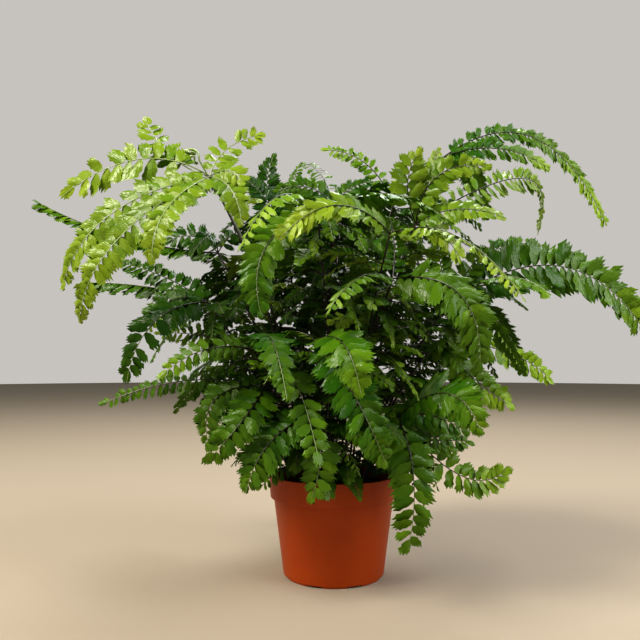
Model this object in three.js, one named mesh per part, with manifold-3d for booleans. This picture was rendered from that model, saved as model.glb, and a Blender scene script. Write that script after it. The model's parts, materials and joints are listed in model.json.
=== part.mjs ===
// A maidenhair fern in a thin plastic nursery pot. Millimetres, +Z up.
// The origin is the centre of the pot's foot, on the surface that the pot stands on.
// The viewer stands at -Y, so +X is to the viewer's right.

import * as THREE from "three";
import { mergeVertices } from "three/addons/utils/BufferGeometryUtils.js";
import Module from "manifold-3d";

const wasm = await Module();
wasm.setup();

// ---------------------------------------------------------------- driving dimensions

const POT_SIDES = 32;
const RIM_RADIUS = 60;
const POT_HEIGHT = 93;
const COLLAR_Z = 73.5;
const COLLAR_STEP = 1.3;
const BODY_TOP_RADIUS = 56.3;
const FOOT_RADIUS = 46.6;
const WALL = 1.3;
const FLOOR_Z = 2;
const FLOOR_TOP_Z = 3.4;
const FOOT_RING_WIDTH = 2.6;
const FOOT_BEVEL = 1;
const LIP_ROUNDING = 0.8;
const FOOT_ARCHES = 8;
const ARCH_WIDTH = 15;
const ARCH_HEIGHT = 1.6;
const DRAIN_HOLES = 5;
const DRAIN_RADIUS = 4;
const DRAIN_CIRCLE = 28;
const DRAIN_SIDES = 6;

const GAP = 0.3;
const MERGE_DISTANCE = 1e-4;
const SOIL_Z = 80;
const SOIL_CROWN = 3;
const SOIL_SHOULDER = 0.55;
const SEAT_COUNT = 26;
const SEAT_CIRCLE = 41;
const SEAT_LEAN = 1.5;
const SEAT_DEPTH = 12;
const SEAT_HALF_WIDTH = 1.6;

const STALK_SIDES = 5;
const STALK_RADIUS = 1.2;
const STALK_TOP_RADIUS = 0.9;
const STALK_STATIONS = [0.25, 0.5, 0.75, 1];
const STALK_BEND_OUT = 0.3;
const STALK_BEND_UP = 0.62;
const KNOB_LENGTH = 4;
const KNOB_RADIUS = 1.7;

const BLADE_THICKNESS = 0.75;
const LEAFLET_PITCH = 19.5;
const FEWEST_PAIRS = 3;
const BARE_LENGTH = 9;
const BARE_HALF_WIDTH = 0.9;
const NOTCH_SHARE = 0.15;
const NOTCH_LEAST = 1.2;
const LEAFLET_FROM = 0.34;
const LEAFLET_TO = 0.98;
const LEAFLET_SLANT = 0.9;
const FOLD_ANGLE = 0.36;
const CLEARANCE = 6.2;
const SAMPLE_STEP = 4;
const GROWTH_SEED = 256;
const STALK_CLEARANCE = 5;
const CROWN_SAMPLES = 3;
const CROWN_REACH = 26;
const SEEN_CROWN_REACH = 300;

// ---------------------------------------------------------------- finishes

const finish = (color, roughness) => new THREE.MeshStandardMaterial({ color, roughness, metalness: 0 });
const POT_FINISH = finish(0xa04a24, 0.5);
const SOIL_FINISH = finish(0x1d1611, 0.95);
const STALK_FINISH = finish(0x1c120e, 0.35);
const YOUNG = finish(0x86b93a, 0.5);
const FRESH = finish(0x4d8f2b, 0.5);
const MATURE = finish(0x2d6a24, 0.5);
const DARK = finish(0x1d4a20, 0.5);

// ---------------------------------------------------------------- the fronds, as they grow

const TOWARD_VIEWER = [0, -1, 0.45];
const SKYWARD = [0, -0.35, 1];

// One pinna is an arc from the frond's crown: it heads for the bend and ends at the tip.
const pinna = (bend, tip, halfWidth, face = TOWARD_VIEWER) => ({ bend, tip, halfWidth, face });

// One frond: its crown is where the stalk forks into pinnae. The fan adds pinnae by rule.
const frond = (name, crown, tone, pinnae, fan = 0) => ({ name, crown, tone, pinnae, fan });

const FRONDS = [
  frond("upper_left", [-105, -60, 352], YOUNG, [
    pinna([-162, -64, 388], [-230, -60, 335], 16),
    pinna([-194, -112, 322], [-215, -97, 255], 17),
    pinna([-180, -145, 289], [-197, -110, 228], 16),
    pinna([-136, -138, 313], [-135, -135, 270], 14),
    pinna([-147, -45, 366], [-168, -30, 413], 12),
    pinna([-101, -49, 384], [-60, -50, 391], 12),
    pinna([-78, -89, 341], [-75, -90, 305], 13),
  ]),
  frond("left_dark", [-110, -45, 248], DARK, [
    pinna([-151, -26, 277], [-195, -30, 285], 14),
    pinna([-162, 2, 269], [-225, 0, 270], 13, SKYWARD),
    pinna([-152, -106, 242], [-165, -95, 180], 15),
    pinna([-138, -58, 260], [-165, -60, 225], 14),
  ]),
  frond("left_middle", [-68, -70, 206], MATURE, [
    pinna([-111, -59, 223], [-150, -60, 220], 14),
    pinna([-102, -105, 217], [-135, -112, 184], 15),
  ], 1),
  frond("left_low", [-58, -62, 176], MATURE, [
    pinna([-128, -63, 192], [-197, -60, 160], 13),
    pinna([-117, -89, 180], [-100, -88, 124], 12),
    pinna([-65, -120, 156], [-100, -106, 119], 15),
  ], 1),
  frond("front_left_low", [-15, -66, 152], MATURE, [
    pinna([-58, -119, 146], [-70, -112, 95], 20),
    pinna([-7, -97, 121], [-20, -92, 86], 14),
  ], 1),
  frond("front_centre", [-12, -100, 214], FRESH, [
    pinna([7, -174, 222], [15, -172, 174], 18),
    pinna([17, -163, 168], [35, -142, 122], 19),
  ]),
  frond("front_right", [45, -92, 262], MATURE, [
    pinna([105, -149, 266], [105, -130, 190], 21),
  ], 2),
  frond("top_front", [-15, -78, 318], FRESH, [
    pinna([-72, -134, 290], [-56, -126, 230], 17),
  ], 3),
  frond("top_front_right", [42, -100, 296], YOUNG, [
    pinna([0, -144, 332], [-42, -140, 284], 13),
  ], 2),
  frond("right_big", [108, -18, 252], MATURE, [
    pinna([216, -21, 327], [281, -20, 222], 23),
    pinna([145, 29, 318], [202, 32, 312], 14),
  ], 2),
  frond("top_right_back", [112, 48, 402], FRESH, [
    pinna([215, 64, 480], [281, 60, 335], 11),
    pinna([166, 39, 421], [216, 42, 388], 11),
  ], 1),
  frond("right_top", [72, -32, 318], YOUNG, [
    pinna([215, -10, 410], [190, 0, 315], 11),
    pinna([54, -48, 352], [72, -55, 376], 17),
    pinna([75, -58, 372], [132, -58, 360], 14),
    pinna([100, -62, 334], [142, -66, 316], 13),
  ]),
  frond("top_centre", [58, 18, 348], FRESH, [
    pinna([35, 20, 402], [-10, 22, 400], 13),
  ], 3),
  frond("top_middle", [0, -8, 338], MATURE, [
    pinna([-18, -22, 364], [-54, -24, 348], 13),
    pinna([-8, 30, 388], [-30, 58, 398], 12),
  ], 2),
  frond("top_left_back", [-48, 32, 322], DARK, [
    pinna([-76, 42, 360], [-58, 40, 402], 15),
  ], 3),
  frond("far_left", [-108, 2, 298], DARK, [
    pinna([-195, 8, 302], [-278, 0, 346], 12, SKYWARD),
  ], 2),
  frond("right_middle", [88, -42, 212], FRESH, [
    pinna([156, -31, 216], [192, -32, 180], 13),
    pinna([122, -64, 174], [147, -62, 160], 13),
  ]),
  frond("right_low", [52, -66, 150], FRESH, [
    pinna([68, -112, 110], [56, -97, 46], 17),
    pinna([111, -65, 75], [142, -67, 107], 14),
    pinna([88, -130, 198], [108, -123, 142], 20),
  ]),
  frond("back_left", [-95, 78, 262], MATURE, [], 4),
  frond("back_top", [10, 66, 352], FRESH, [], 4),
  frond("back_right", [120, 78, 262], MATURE, [], 4),
  frond("back_middle", [20, 70, 282], MATURE, [], 4),
  frond("back_low_left", [-75, 72, 186], MATURE, [], 4),
  frond("back_low_right", [78, 74, 180], MATURE, [], 4),
  frond("back_low", [0, 96, 200], DARK, [], 4),
];

const FIDDLEHEAD = {
  name: "fiddlehead", crown: [-118, -38, 372], coil: 8, turns: 1.4, steps: 14, tightening: 0.72, tipRadius: 1.3,
};

// ---------------------------------------------------------------- small helpers

const vec = (x, y, z) => new THREE.Vector3(x, y, z);
const fromList = (list) => vec(list[0], list[1], list[2]);
const along = (origin, direction, distance) => origin.clone().addScaledVector(direction, distance);

// A linear congruential generator, so that every growth of the plant is the same.
function seeded(seed) {
  let state = seed;
  return () => {
    state = (state * 1664525 + 1013904223) % 4294967296;
    return state / 4294967296;
  };
}

function meshGeometry(points, triangles) {
  const geometry = new THREE.BufferGeometry();
  const places = points.flatMap((point) => [point.x, point.y, point.z]);
  geometry.setAttribute("position", new THREE.Float32BufferAttribute(places, 3));
  geometry.setIndex(triangles);
  return geometry;
}

function solidOf(geometry) {
  const bare = geometry.clone();
  bare.deleteAttribute("normal");
  bare.deleteAttribute("uv");
  const merged = mergeVertices(bare, MERGE_DISTANCE);
  const vertProperties = new Float32Array(merged.attributes.position.array);
  const triVerts = new Uint32Array(merged.index.array);
  return new wasm.Manifold(new wasm.Mesh({ numProp: 3, vertProperties, triVerts }));
}

function geometryOf(solid) {
  const { vertProperties, triVerts } = solid.getMesh();
  const geometry = new THREE.BufferGeometry();
  geometry.setAttribute("position", new THREE.BufferAttribute(new Float32Array(vertProperties), 3));
  geometry.setIndex([...triVerts]);
  return geometry;
}

function lathe(profile) {
  const points = profile.map(([radius, z]) => new THREE.Vector2(radius, z));
  const geometry = new THREE.LatheGeometry(points, POT_SIDES);
  return geometry.rotateX(Math.PI / 2);
}

function named(name, geometry, material) {
  const mesh = new THREE.Mesh(geometry, material);
  mesh.name = name;
  return mesh;
}

// ---------------------------------------------------------------- pot and soil

const INNER_FOOT_RADIUS = FOOT_RADIUS - WALL;
const INNER_TOP_RADIUS = BODY_TOP_RADIUS - WALL;

function innerRadius(z) {
  const share = (z - FLOOR_TOP_Z) / (COLLAR_Z - FLOOR_TOP_Z);
  return THREE.MathUtils.lerp(INNER_FOOT_RADIUS, INNER_TOP_RADIUS, share);
}

function potSolid() {
  const collarFoot = BODY_TOP_RADIUS + COLLAR_STEP;
  const ringInner = FOOT_RADIUS - FOOT_RING_WIDTH;
  let pot = solidOf(lathe([
    [0, FLOOR_Z], [ringInner - FOOT_BEVEL, FLOOR_Z], [ringInner, 0], [FOOT_RADIUS - FOOT_BEVEL, 0],
    [FOOT_RADIUS, 2 * FOOT_BEVEL], [BODY_TOP_RADIUS, COLLAR_Z - COLLAR_STEP], [collarFoot, COLLAR_Z],
    [RIM_RADIUS, POT_HEIGHT - LIP_ROUNDING], [RIM_RADIUS - LIP_ROUNDING, POT_HEIGHT],
    [RIM_RADIUS - WALL, POT_HEIGHT - LIP_ROUNDING], [INNER_TOP_RADIUS + COLLAR_STEP, COLLAR_Z + 2 * WALL],
    [innerRadius(COLLAR_Z - COLLAR_STEP), COLLAR_Z - COLLAR_STEP], [INNER_FOOT_RADIUS, FLOOR_TOP_Z],
    [0, FLOOR_TOP_Z],
  ]));
  for (let index = 0; index < FOOT_ARCHES; index += 1) {
    const angle = ((index + 0.5) / FOOT_ARCHES) * 2 * Math.PI;
    const arch = new THREE.BoxGeometry(3 * FOOT_RING_WIDTH, ARCH_WIDTH, 2 * ARCH_HEIGHT);
    arch.translate(FOOT_RADIUS - FOOT_RING_WIDTH / 2, 0, 0).rotateZ(angle);
    pot = pot.subtract(solidOf(arch));
  }
  for (let index = 0; index < DRAIN_HOLES; index += 1) {
    const angle = (index / DRAIN_HOLES) * 2 * Math.PI;
    const drill = new THREE.CylinderGeometry(DRAIN_RADIUS, DRAIN_RADIUS, 3 * FLOOR_TOP_Z, DRAIN_SIDES);
    drill.rotateX(Math.PI / 2);
    drill.translate(DRAIN_CIRCLE * Math.cos(angle), DRAIN_CIRCLE * Math.sin(angle), FLOOR_Z);
    pot = pot.subtract(solidOf(drill));
  }
  return pot;
}

// The soil is a little higher in the middle, where the fern's crown sits.
const soilHeight = (radius) => SOIL_Z + SOIL_CROWN * (1 - (radius / INNER_TOP_RADIUS) ** 2);

function soilSolid(seats) {
  const edge = innerRadius(SOIL_Z) - GAP;
  const shoulder = SOIL_SHOULDER * edge;
  let soil = solidOf(lathe([
    [0, FLOOR_TOP_Z + GAP], [INNER_FOOT_RADIUS - GAP, FLOOR_TOP_Z + GAP],
    [edge, SOIL_Z], [shoulder, soilHeight(shoulder)], [0, soilHeight(0)],
  ]));
  for (const [x, y] of seats) {
    const hole = new THREE.BoxGeometry(2 * SEAT_HALF_WIDTH, 2 * SEAT_HALF_WIDTH, 2 * SEAT_DEPTH);
    soil = soil.subtract(solidOf(hole.translate(x, y, seatFloor(x, y) + SEAT_DEPTH)));
  }
  return soil;
}

// ---------------------------------------------------------------- where each stalk stands

const seatFloor = (x, y) => soilHeight(Math.hypot(x, y)) - SEAT_DEPTH;

// The seats lie on a golden-angle spiral. A frond takes the free seat nearest to its own side.
function seatsOnSpiral() {
  return Array.from({ length: SEAT_COUNT }, (_, index) => {
    const radius = SEAT_CIRCLE * Math.sqrt((index + 0.5) / SEAT_COUNT);
    const angle = index * Math.PI * (3 - Math.sqrt(5));
    return [radius * Math.cos(angle), radius * Math.sin(angle)];
  });
}

// The stalk stands upright in its seat and leans out to the crown on one quadratic arc.
function stalkLine(seat, crown) {
  const [x, y] = seat;
  const foot = vec(x, y, seatFloor(x, y) + GAP);
  const start = vec(x, y, soilHeight(Math.hypot(x, y)) + 1);
  const end = fromList(crown);
  const bend = vec(
    THREE.MathUtils.lerp(start.x, end.x, STALK_BEND_OUT),
    THREE.MathUtils.lerp(start.y, end.y, STALK_BEND_OUT),
    THREE.MathUtils.lerp(start.z, end.z, STALK_BEND_UP),
  );
  const arc = new THREE.QuadraticBezierCurve3(start, bend, end);
  return [foot, start, ...STALK_STATIONS.map((t) => arc.getPoint(t))];
}

function lineSamples(line) {
  return line.slice(1).flatMap((end, index) => {
    const start = line[index];
    const count = Math.ceil(start.distanceTo(end) / SAMPLE_STEP);
    return Array.from({ length: count }, (_, step) => start.clone().lerp(end, (step + 1) / count));
  });
}

// A frond takes the nearest free seat from which its stalk passes the stalks that stand already.
function takeSeat(seats, crown, standing) {
  const reach = Math.hypot(crown[0], crown[1]);
  const lean = Math.min(1, (SEAT_LEAN * reach) / Math.hypot(reach, crown[2] - SOIL_Z));
  const ideal = [(crown[0] / reach) * SEAT_CIRCLE * lean, (crown[1] / reach) * SEAT_CIRCLE * lean];
  const distance = ([x, y]) => Math.hypot(x - ideal[0], y - ideal[1]);
  const passes = (seat) => lineSamples(stalkLine(seat, crown))
    .every((point) => standing.every((other) => other.distanceTo(point) > STALK_CLEARANCE));
  const seat = seats.toSorted((one, two) => distance(one) - distance(two)).find(passes);
  seats.splice(seats.indexOf(seat), 1);
  return seat;
}

// ---------------------------------------------------------------- arcs and clearance

// A quadratic arc with a frame that keeps one roll to the plane of the arc, turned to a wanted face.
class Arc {
  constructor(start, bend, tip, face) {
    this.start = start;
    this.bend = bend;
    this.tip = tip;
    const first = bend.clone().sub(start);
    const second = tip.clone().sub(bend);
    this.plane = first.clone().cross(second).normalize();
    const middle = this.plane.clone().cross(this.tangent(0.5));
    const wanted = fromList(face);
    this.roll = Math.atan2(wanted.dot(this.plane), wanted.dot(middle));
  }

  point(t) {
    const u = 1 - t;
    return this.start.clone().multiplyScalar(u * u).addScaledVector(this.bend, 2 * u * t)
      .addScaledVector(this.tip, t * t);
  }

  tangent(t) {
    return this.bend.clone().sub(this.start).multiplyScalar(1 - t)
      .addScaledVector(this.tip.clone().sub(this.bend), t).normalize();
  }

  length() {
    const halves = [0, 0.25, 0.5, 0.75, 1].map((t) => this.point(t));
    return halves.slice(1).reduce((sum, point, index) => sum + point.distanceTo(halves[index]), 0);
  }

  frame(t) {
    const tangent = this.tangent(t);
    const normal = this.plane.clone().cross(tangent).multiplyScalar(Math.cos(this.roll))
      .addScaledVector(this.plane, Math.sin(this.roll));
    return { tangent, normal, side: tangent.clone().cross(normal) };
  }

  // A place on the blade: t along the rib and a signed width across, with both halves folded down.
  place(t, width) {
    const { normal, side } = this.frame(t);
    const across = along(this.point(t), side, width * Math.cos(FOLD_ANGLE));
    return along(across, normal, -Math.abs(width) * Math.sin(FOLD_ANGLE));
  }
}

// Points already taken, kept in cubes of one clearance a side.
class Room {
  constructor() {
    this.cubes = new Map();
  }

  key(x, y, z) {
    return `${x},${y},${z}`;
  }

  add(points, owner) {
    for (const point of points) {
      const cell = [point.x, point.y, point.z].map((value) => Math.floor(value / CLEARANCE));
      const key = this.key(...cell);
      if (!this.cubes.has(key)) this.cubes.set(key, []);
      this.cubes.get(key).push({ point, owner });
    }
  }

  // Pinnae of one frond may meet each other round the crown that they grow from.
  isClear(points, owner, crown, crownReach) {
    return points.every((point) => {
      const atCrown = point.distanceTo(crown) < crownReach;
      const blocks = (other) => other.point.distanceTo(point) < CLEARANCE
        && !(other.owner === owner && (atCrown || other.point.distanceTo(crown) < crownReach));
      const [i, j, k] = [point.x, point.y, point.z].map((value) => Math.floor(value / CLEARANCE));
      for (let x = i - 1; x <= i + 1; x += 1) {
        for (let y = j - 1; y <= j + 1; y += 1) {
          for (let z = k - 1; z <= k + 1; z += 1) {
            const taken = this.cubes.get(this.key(x, y, z)) ?? [];
            if (taken.some(blocks)) return false;
          }
        }
      }
      return true;
    });
  }
}

// How wide a pinna is along its length, as a share of its widest: full at first, then tapering.
function widthProfile(share) {
  return Math.min(1, 0.78 + share) * (1 - 0.72 * share ** 2.2);
}

function bladeSamples(arc, halfWidth) {
  const rows = Math.ceil(arc.length() / SAMPLE_STEP);
  const columns = Math.ceil(halfWidth / SAMPLE_STEP);
  const samples = [];
  for (let row = 2; row <= rows; row += 1) {
    const t = row / rows;
    for (let column = -columns; column <= columns; column += 1) {
      samples.push(arc.place(t, (column / columns) * halfWidth * widthProfile(t)));
    }
  }
  return samples;
}

// ---------------------------------------------------------------- growing the plant

const DEPTH_TRIES = [0, -8, 8, -16, 16, -24, 24, -34, 34];
const FAN_TRIES = 16;
const POT_MARGIN = 12;
const SURFACE_MARGIN = 12;

// A blade keeps out of the pot and off the surface below it.
function isFree(samples) {
  return samples.every((point) => {
    const byPot = point.z < POT_HEIGHT + POT_MARGIN && Math.hypot(point.x, point.y) < RIM_RADIUS + POT_MARGIN;
    return point.z > SURFACE_MARGIN && !byPot;
  });
}

function tryPinna(room, owner, crown, choice, crownReach) {
  const arc = new Arc(fromList(crown), fromList(choice.bend), fromList(choice.tip), choice.face);
  const samples = bladeSamples(arc, choice.halfWidth);
  if (!isFree(samples) || !room.isClear(samples, owner, arc.start, crownReach)) return null;
  room.add(samples, owner);
  return { arc, halfWidth: choice.halfWidth };
}

// A pinna seen in the photograph moves only towards or away from the viewer to find its room.
function placeSeen(room, owner, crown, wanted) {
  for (const shift of DEPTH_TRIES) {
    const bend = [wanted.bend[0], wanted.bend[1] + shift, wanted.bend[2]];
    const tip = [wanted.tip[0], wanted.tip[1] + shift, wanted.tip[2]];
    const placed = tryPinna(room, owner, crown, { ...wanted, bend, tip }, SEEN_CROWN_REACH);
    if (placed) return placed;
  }
  return null;
}

// A pinna of the fan heads outwards from the plant, arches over and hangs. Slopes are per unit of reach.
const FAN = {
  spread: 3.4, rise: [0.1, 0.8], length: [85, 135], droop: [0.35, 0.85], halfWidth: [14, 19],
  bendReach: 0.52, tipReach: 0.42, faceUp: 0.8,
};

function fanPinna(crown, random) {
  const between = ([low, high]) => THREE.MathUtils.lerp(low, high, random());
  const heading = Math.atan2(crown[1], crown[0]) + (random() - 0.5) * FAN.spread;
  const rise = between(FAN.rise);
  const length = between(FAN.length);
  const droop = between(FAN.droop) * length;
  const halfWidth = between(FAN.halfWidth);
  const [x, y] = [Math.cos(heading), Math.sin(heading)];
  const reach = FAN.bendReach * length;
  const onward = FAN.tipReach * length;
  const bend = [crown[0] + reach * x, crown[1] + reach * y, crown[2] + reach * rise];
  const tip = [bend[0] + onward * x, bend[1] + onward * y, bend[2] - droop];
  return { bend, tip, halfWidth, face: [x, y, FAN.faceUp] };
}

function growFern() {
  const room = new Room();
  const random = seeded(GROWTH_SEED);
  const seats = seatsOnSpiral();
  const standing = [];
  const stand = (plan) => {
    const seat = takeSeat(seats, plan.crown, standing);
    const line = stalkLine(seat, plan.crown);
    standing.push(...lineSamples(line));
    room.add(lineSamples(line), plan.name);
    room.add(lineSamples(line).slice(0, -CROWN_SAMPLES), `stalk of ${plan.name}`);
    return { ...plan, seat, line, blades: [] };
  };
  const grown = FRONDS.map(stand);
  const fiddlehead = stand(FIDDLEHEAD);
  for (const plan of grown) {
    for (const wanted of plan.pinnae) {
      const placed = placeSeen(room, plan.name, plan.crown, wanted);
      if (placed) plan.blades.push(placed);
    }
  }
  for (const plan of grown) {
    for (let index = 0; index < plan.fan; index += 1) {
      for (let attempt = 0; attempt < FAN_TRIES; attempt += 1) {
        const placed = tryPinna(room, plan.name, plan.crown, fanPinna(plan.crown, random), CROWN_REACH);
        if (placed) {
          plan.blades.push(placed);
          break;
        }
      }
    }
  }
  return { grown, fiddlehead };
}

// ---------------------------------------------------------------- solids of the fronds

// A closed tube of a few flat sides through the given points, with a radius at each.
function tubeGeometry(centres, radii, firstTangent) {
  const points = [];
  const triangles = [];
  let side = vec(1, 0, 0);
  centres.forEach((centre, index) => {
    const before = centres[Math.max(0, index - 1)];
    const after = centres[Math.min(centres.length - 1, index + 1)];
    const tangent = index === 0 ? firstTangent : after.clone().sub(before).normalize();
    side = side.clone().addScaledVector(tangent, -side.dot(tangent)).normalize();
    const other = tangent.clone().cross(side);
    for (let corner = 0; corner < STALK_SIDES; corner += 1) {
      const angle = (corner / STALK_SIDES) * 2 * Math.PI;
      const sideways = along(centre, side, radii[index] * Math.cos(angle));
      points.push(along(sideways, other, radii[index] * Math.sin(angle)));
    }
  });
  for (let ring = 0; ring < centres.length - 1; ring += 1) {
    for (let corner = 0; corner < STALK_SIDES; corner += 1) {
      const low = ring * STALK_SIDES + corner;
      const lowNext = ring * STALK_SIDES + ((corner + 1) % STALK_SIDES);
      triangles.push(low, lowNext, lowNext + STALK_SIDES, low, lowNext + STALK_SIDES, low + STALK_SIDES);
    }
  }
  const last = (centres.length - 1) * STALK_SIDES;
  for (let corner = 1; corner < STALK_SIDES - 1; corner += 1) {
    triangles.push(0, corner + 1, corner, last, last + corner, last + corner + 1);
  }
  return meshGeometry(points, triangles);
}

// The stalk ends just below the knob that its pinnae grow from.
function stalkGeometry(plan) {
  const [before, crown] = plan.line.slice(-2);
  const heading = crown.clone().sub(before).normalize();
  const centres = [...plan.line.slice(0, -1), along(crown, heading, -(KNOB_LENGTH / 2 + GAP))];
  const share = (index) => index / (centres.length - 1);
  const radii = centres.map((_, index) => THREE.MathUtils.lerp(STALK_RADIUS, STALK_TOP_RADIUS, share(index)));
  return tubeGeometry(centres, radii, vec(0, 0, 1));
}

// The young frond ends in a flat spiral that winds inwards.
function fiddleheadGeometry(plan) {
  const centres = [...plan.line];
  const radii = centres.map(() => STALK_TOP_RADIUS);
  const centre = along(centres.at(-1), vec(-1, 0, 0), FIDDLEHEAD.coil);
  for (let step = 1; step <= FIDDLEHEAD.steps; step += 1) {
    const share = step / FIDDLEHEAD.steps;
    const angle = share * FIDDLEHEAD.turns * 2 * Math.PI;
    const radius = FIDDLEHEAD.coil * (1 - FIDDLEHEAD.tightening * share);
    centres.push(vec(centre.x + radius * Math.cos(angle), centre.y, centre.z + radius * Math.sin(angle)));
    radii.push(THREE.MathUtils.lerp(STALK_TOP_RADIUS, FIDDLEHEAD.tipRadius, share));
  }
  return tubeGeometry(centres, radii, vec(0, 0, 1));
}

// One pinna: a thin arched blade whose outline is cut to the rib between alternate leaflets.
function pinnaGeometry({ arc, halfWidth }) {
  const length = arc.length();
  const bare = BARE_LENGTH / length;
  const pairs = Math.max(FEWEST_PAIRS, Math.round((length - BARE_LENGTH) / LEAFLET_PITCH));
  const pitch = (1 - bare) / (pairs + 0.5);
  const notch = Math.max(NOTCH_LEAST, NOTCH_SHARE * halfWidth);
  const top = [];
  const normals = [];
  const put = (t, width) => {
    top.push(arc.place(t, width));
    normals.push(arc.frame(t).normal);
    return top.length - 1;
  };
  const leaflets = (sign, first) => {
    const row = [];
    for (let index = 0; index < pairs; index += 1) {
      const from = first + index * pitch;
      const reach = (t) => sign * halfWidth * widthProfile((t - bare) / (1 - bare));
      const near = from + LEAFLET_FROM * pitch;
      const far = Math.min(from + LEAFLET_TO * pitch, 1);
      row.push(put(from, sign * notch), put(near, reach(near)), put(far, LEAFLET_SLANT * reach(far)));
    }
    return row;
  };
  const base = [put(0, -BARE_HALF_WIDTH), put(0, BARE_HALF_WIDTH)];
  const left = leaflets(-1, bare);
  const right = leaflets(1, bare + 0.5 * pitch);
  left.push(put(1 - 0.5 * pitch, -notch));
  const tip = put(1, 0);
  right.push(tip);
  const faces = [[base[0], base[1], left[0]], [base[1], right[0], left[0]]];
  for (let index = 0; index < pairs; index += 1) {
    const [v, a, b, next] = left.slice(3 * index, 3 * index + 4);
    const [w, c, d, following] = right.slice(3 * index, 3 * index + 4);
    faces.push([v, w, next], [w, following, next], [v, next, b], [v, b, a], [w, c, d], [w, d, following]);
  }
  const outline = [base[0], base[1], ...right, ...left.toReversed()];
  const under = top.length;
  const bottom = top.map((point, index) => along(point, normals[index], -BLADE_THICKNESS));
  const triangles = faces.flatMap(([p, q, r]) => [p, q, r, p + under, r + under, q + under]);
  outline.forEach((from, index) => {
    const to = outline[(index + 1) % outline.length];
    triangles.push(from, from + under, to + under, from, to + under, to);
  });
  return meshGeometry([...top, ...bottom], triangles);
}

// The pinnae of one frond, their roots sunk in the small knob where the stalk forks.
function bladeSolid(plan) {
  const [before, crown] = plan.line.slice(-2);
  const heading = crown.clone().sub(before).normalize();
  const ends = [along(crown, heading, -KNOB_LENGTH / 2), along(crown, heading, KNOB_LENGTH / 2)];
  const knob = solidOf(tubeGeometry(ends, [KNOB_RADIUS, KNOB_RADIUS], heading));
  return plan.blades.reduce((solid, blade) => solid.add(solidOf(pinnaGeometry(blade))), knob);
}

// ---------------------------------------------------------------- assembly

const { grown, fiddlehead } = growFern();
const fern = new THREE.Group();
fern.name = "potted_maidenhair_fern";
fern.add(named("pot", geometryOf(potSolid()), POT_FINISH));
fern.add(named("soil", geometryOf(soilSolid([...grown, fiddlehead].map((plan) => plan.seat))), SOIL_FINISH));
for (const plan of grown) {
  fern.add(named(`stalk_${plan.name}`, stalkGeometry(plan), STALK_FINISH));
  fern.add(named(`blade_${plan.name}`, geometryOf(bladeSolid(plan)), plan.tone));
}
fern.add(named("fiddlehead", fiddleheadGeometry(fiddlehead), STALK_FINISH));

export default fern;
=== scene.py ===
"""A maidenhair fern in a thin plastic nursery pot, dressed in fine leaflets, wiry ribs and real finishes.

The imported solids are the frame, and each piece below stands where its solid stands. The fronds grow here by
the rule that grew their solids, in millimetres, and Blender's meshes are in metres.
The viewer stands at -Y, so +X is to the viewer's right.
"""

import json
import logging
import math
import random
from collections.abc import Callable, Iterator, Sequence
from dataclasses import dataclass, field, replace
from enum import Enum

import bmesh
import bpy
from mathutils import Matrix, Quaternion, Vector, noise

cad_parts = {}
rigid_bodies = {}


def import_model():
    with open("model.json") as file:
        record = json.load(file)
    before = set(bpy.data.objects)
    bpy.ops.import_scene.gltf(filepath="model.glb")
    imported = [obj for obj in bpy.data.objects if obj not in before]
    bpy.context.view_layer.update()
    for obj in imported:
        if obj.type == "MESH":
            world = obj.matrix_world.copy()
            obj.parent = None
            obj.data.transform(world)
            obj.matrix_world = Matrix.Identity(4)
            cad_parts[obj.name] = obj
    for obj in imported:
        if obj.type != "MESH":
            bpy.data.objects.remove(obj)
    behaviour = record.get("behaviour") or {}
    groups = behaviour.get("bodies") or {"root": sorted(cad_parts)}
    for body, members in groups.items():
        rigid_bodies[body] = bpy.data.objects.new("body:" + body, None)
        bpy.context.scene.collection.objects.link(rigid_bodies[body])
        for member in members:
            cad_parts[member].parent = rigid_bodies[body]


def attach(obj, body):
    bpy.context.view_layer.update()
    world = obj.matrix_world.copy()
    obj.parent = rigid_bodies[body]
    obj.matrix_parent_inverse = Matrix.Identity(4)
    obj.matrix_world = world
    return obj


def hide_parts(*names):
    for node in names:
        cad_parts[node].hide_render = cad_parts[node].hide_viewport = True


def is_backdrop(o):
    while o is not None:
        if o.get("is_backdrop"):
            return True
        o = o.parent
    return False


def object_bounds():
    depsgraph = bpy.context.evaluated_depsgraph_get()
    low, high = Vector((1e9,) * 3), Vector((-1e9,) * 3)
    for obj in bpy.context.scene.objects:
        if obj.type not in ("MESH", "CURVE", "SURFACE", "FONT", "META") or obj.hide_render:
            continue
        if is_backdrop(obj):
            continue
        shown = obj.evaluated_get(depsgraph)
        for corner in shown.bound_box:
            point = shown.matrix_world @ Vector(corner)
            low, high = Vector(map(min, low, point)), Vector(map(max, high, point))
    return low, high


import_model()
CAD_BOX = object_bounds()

LOG = logging.getLogger("potted_fern")
MM = 0.001
BODY = "root"

Point = tuple[float, float, float]
Tree = bpy.types.NodeTree
Socket = bpy.types.NodeSocket


# ---------------------------------------------------------------- plain vector sums, in double precision

def plus(a: Point, b: Point, share: float = 1.0) -> Point:
    """Returns a, moved by a share of b."""
    return (a[0] + share * b[0], a[1] + share * b[1], a[2] + share * b[2])


def times(a: Point, factor: float) -> Point:
    """Returns a, made longer by a factor."""
    return (a[0] * factor, a[1] * factor, a[2] * factor)


def minus(a: Point, b: Point) -> Point:
    """Returns the way from b to a."""
    return (a[0] - b[0], a[1] - b[1], a[2] - b[2])


def dot(a: Point, b: Point) -> float:
    """Returns the scalar product."""
    return a[0] * b[0] + a[1] * b[1] + a[2] * b[2]


def cross(a: Point, b: Point) -> Point:
    """Returns the vector product."""
    return (a[1] * b[2] - a[2] * b[1], a[2] * b[0] - a[0] * b[2], a[0] * b[1] - a[1] * b[0])


def unit(a: Point) -> Point:
    """Returns the direction of a."""
    return times(a, 1.0 / math.sqrt(dot(a, a)))


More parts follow.
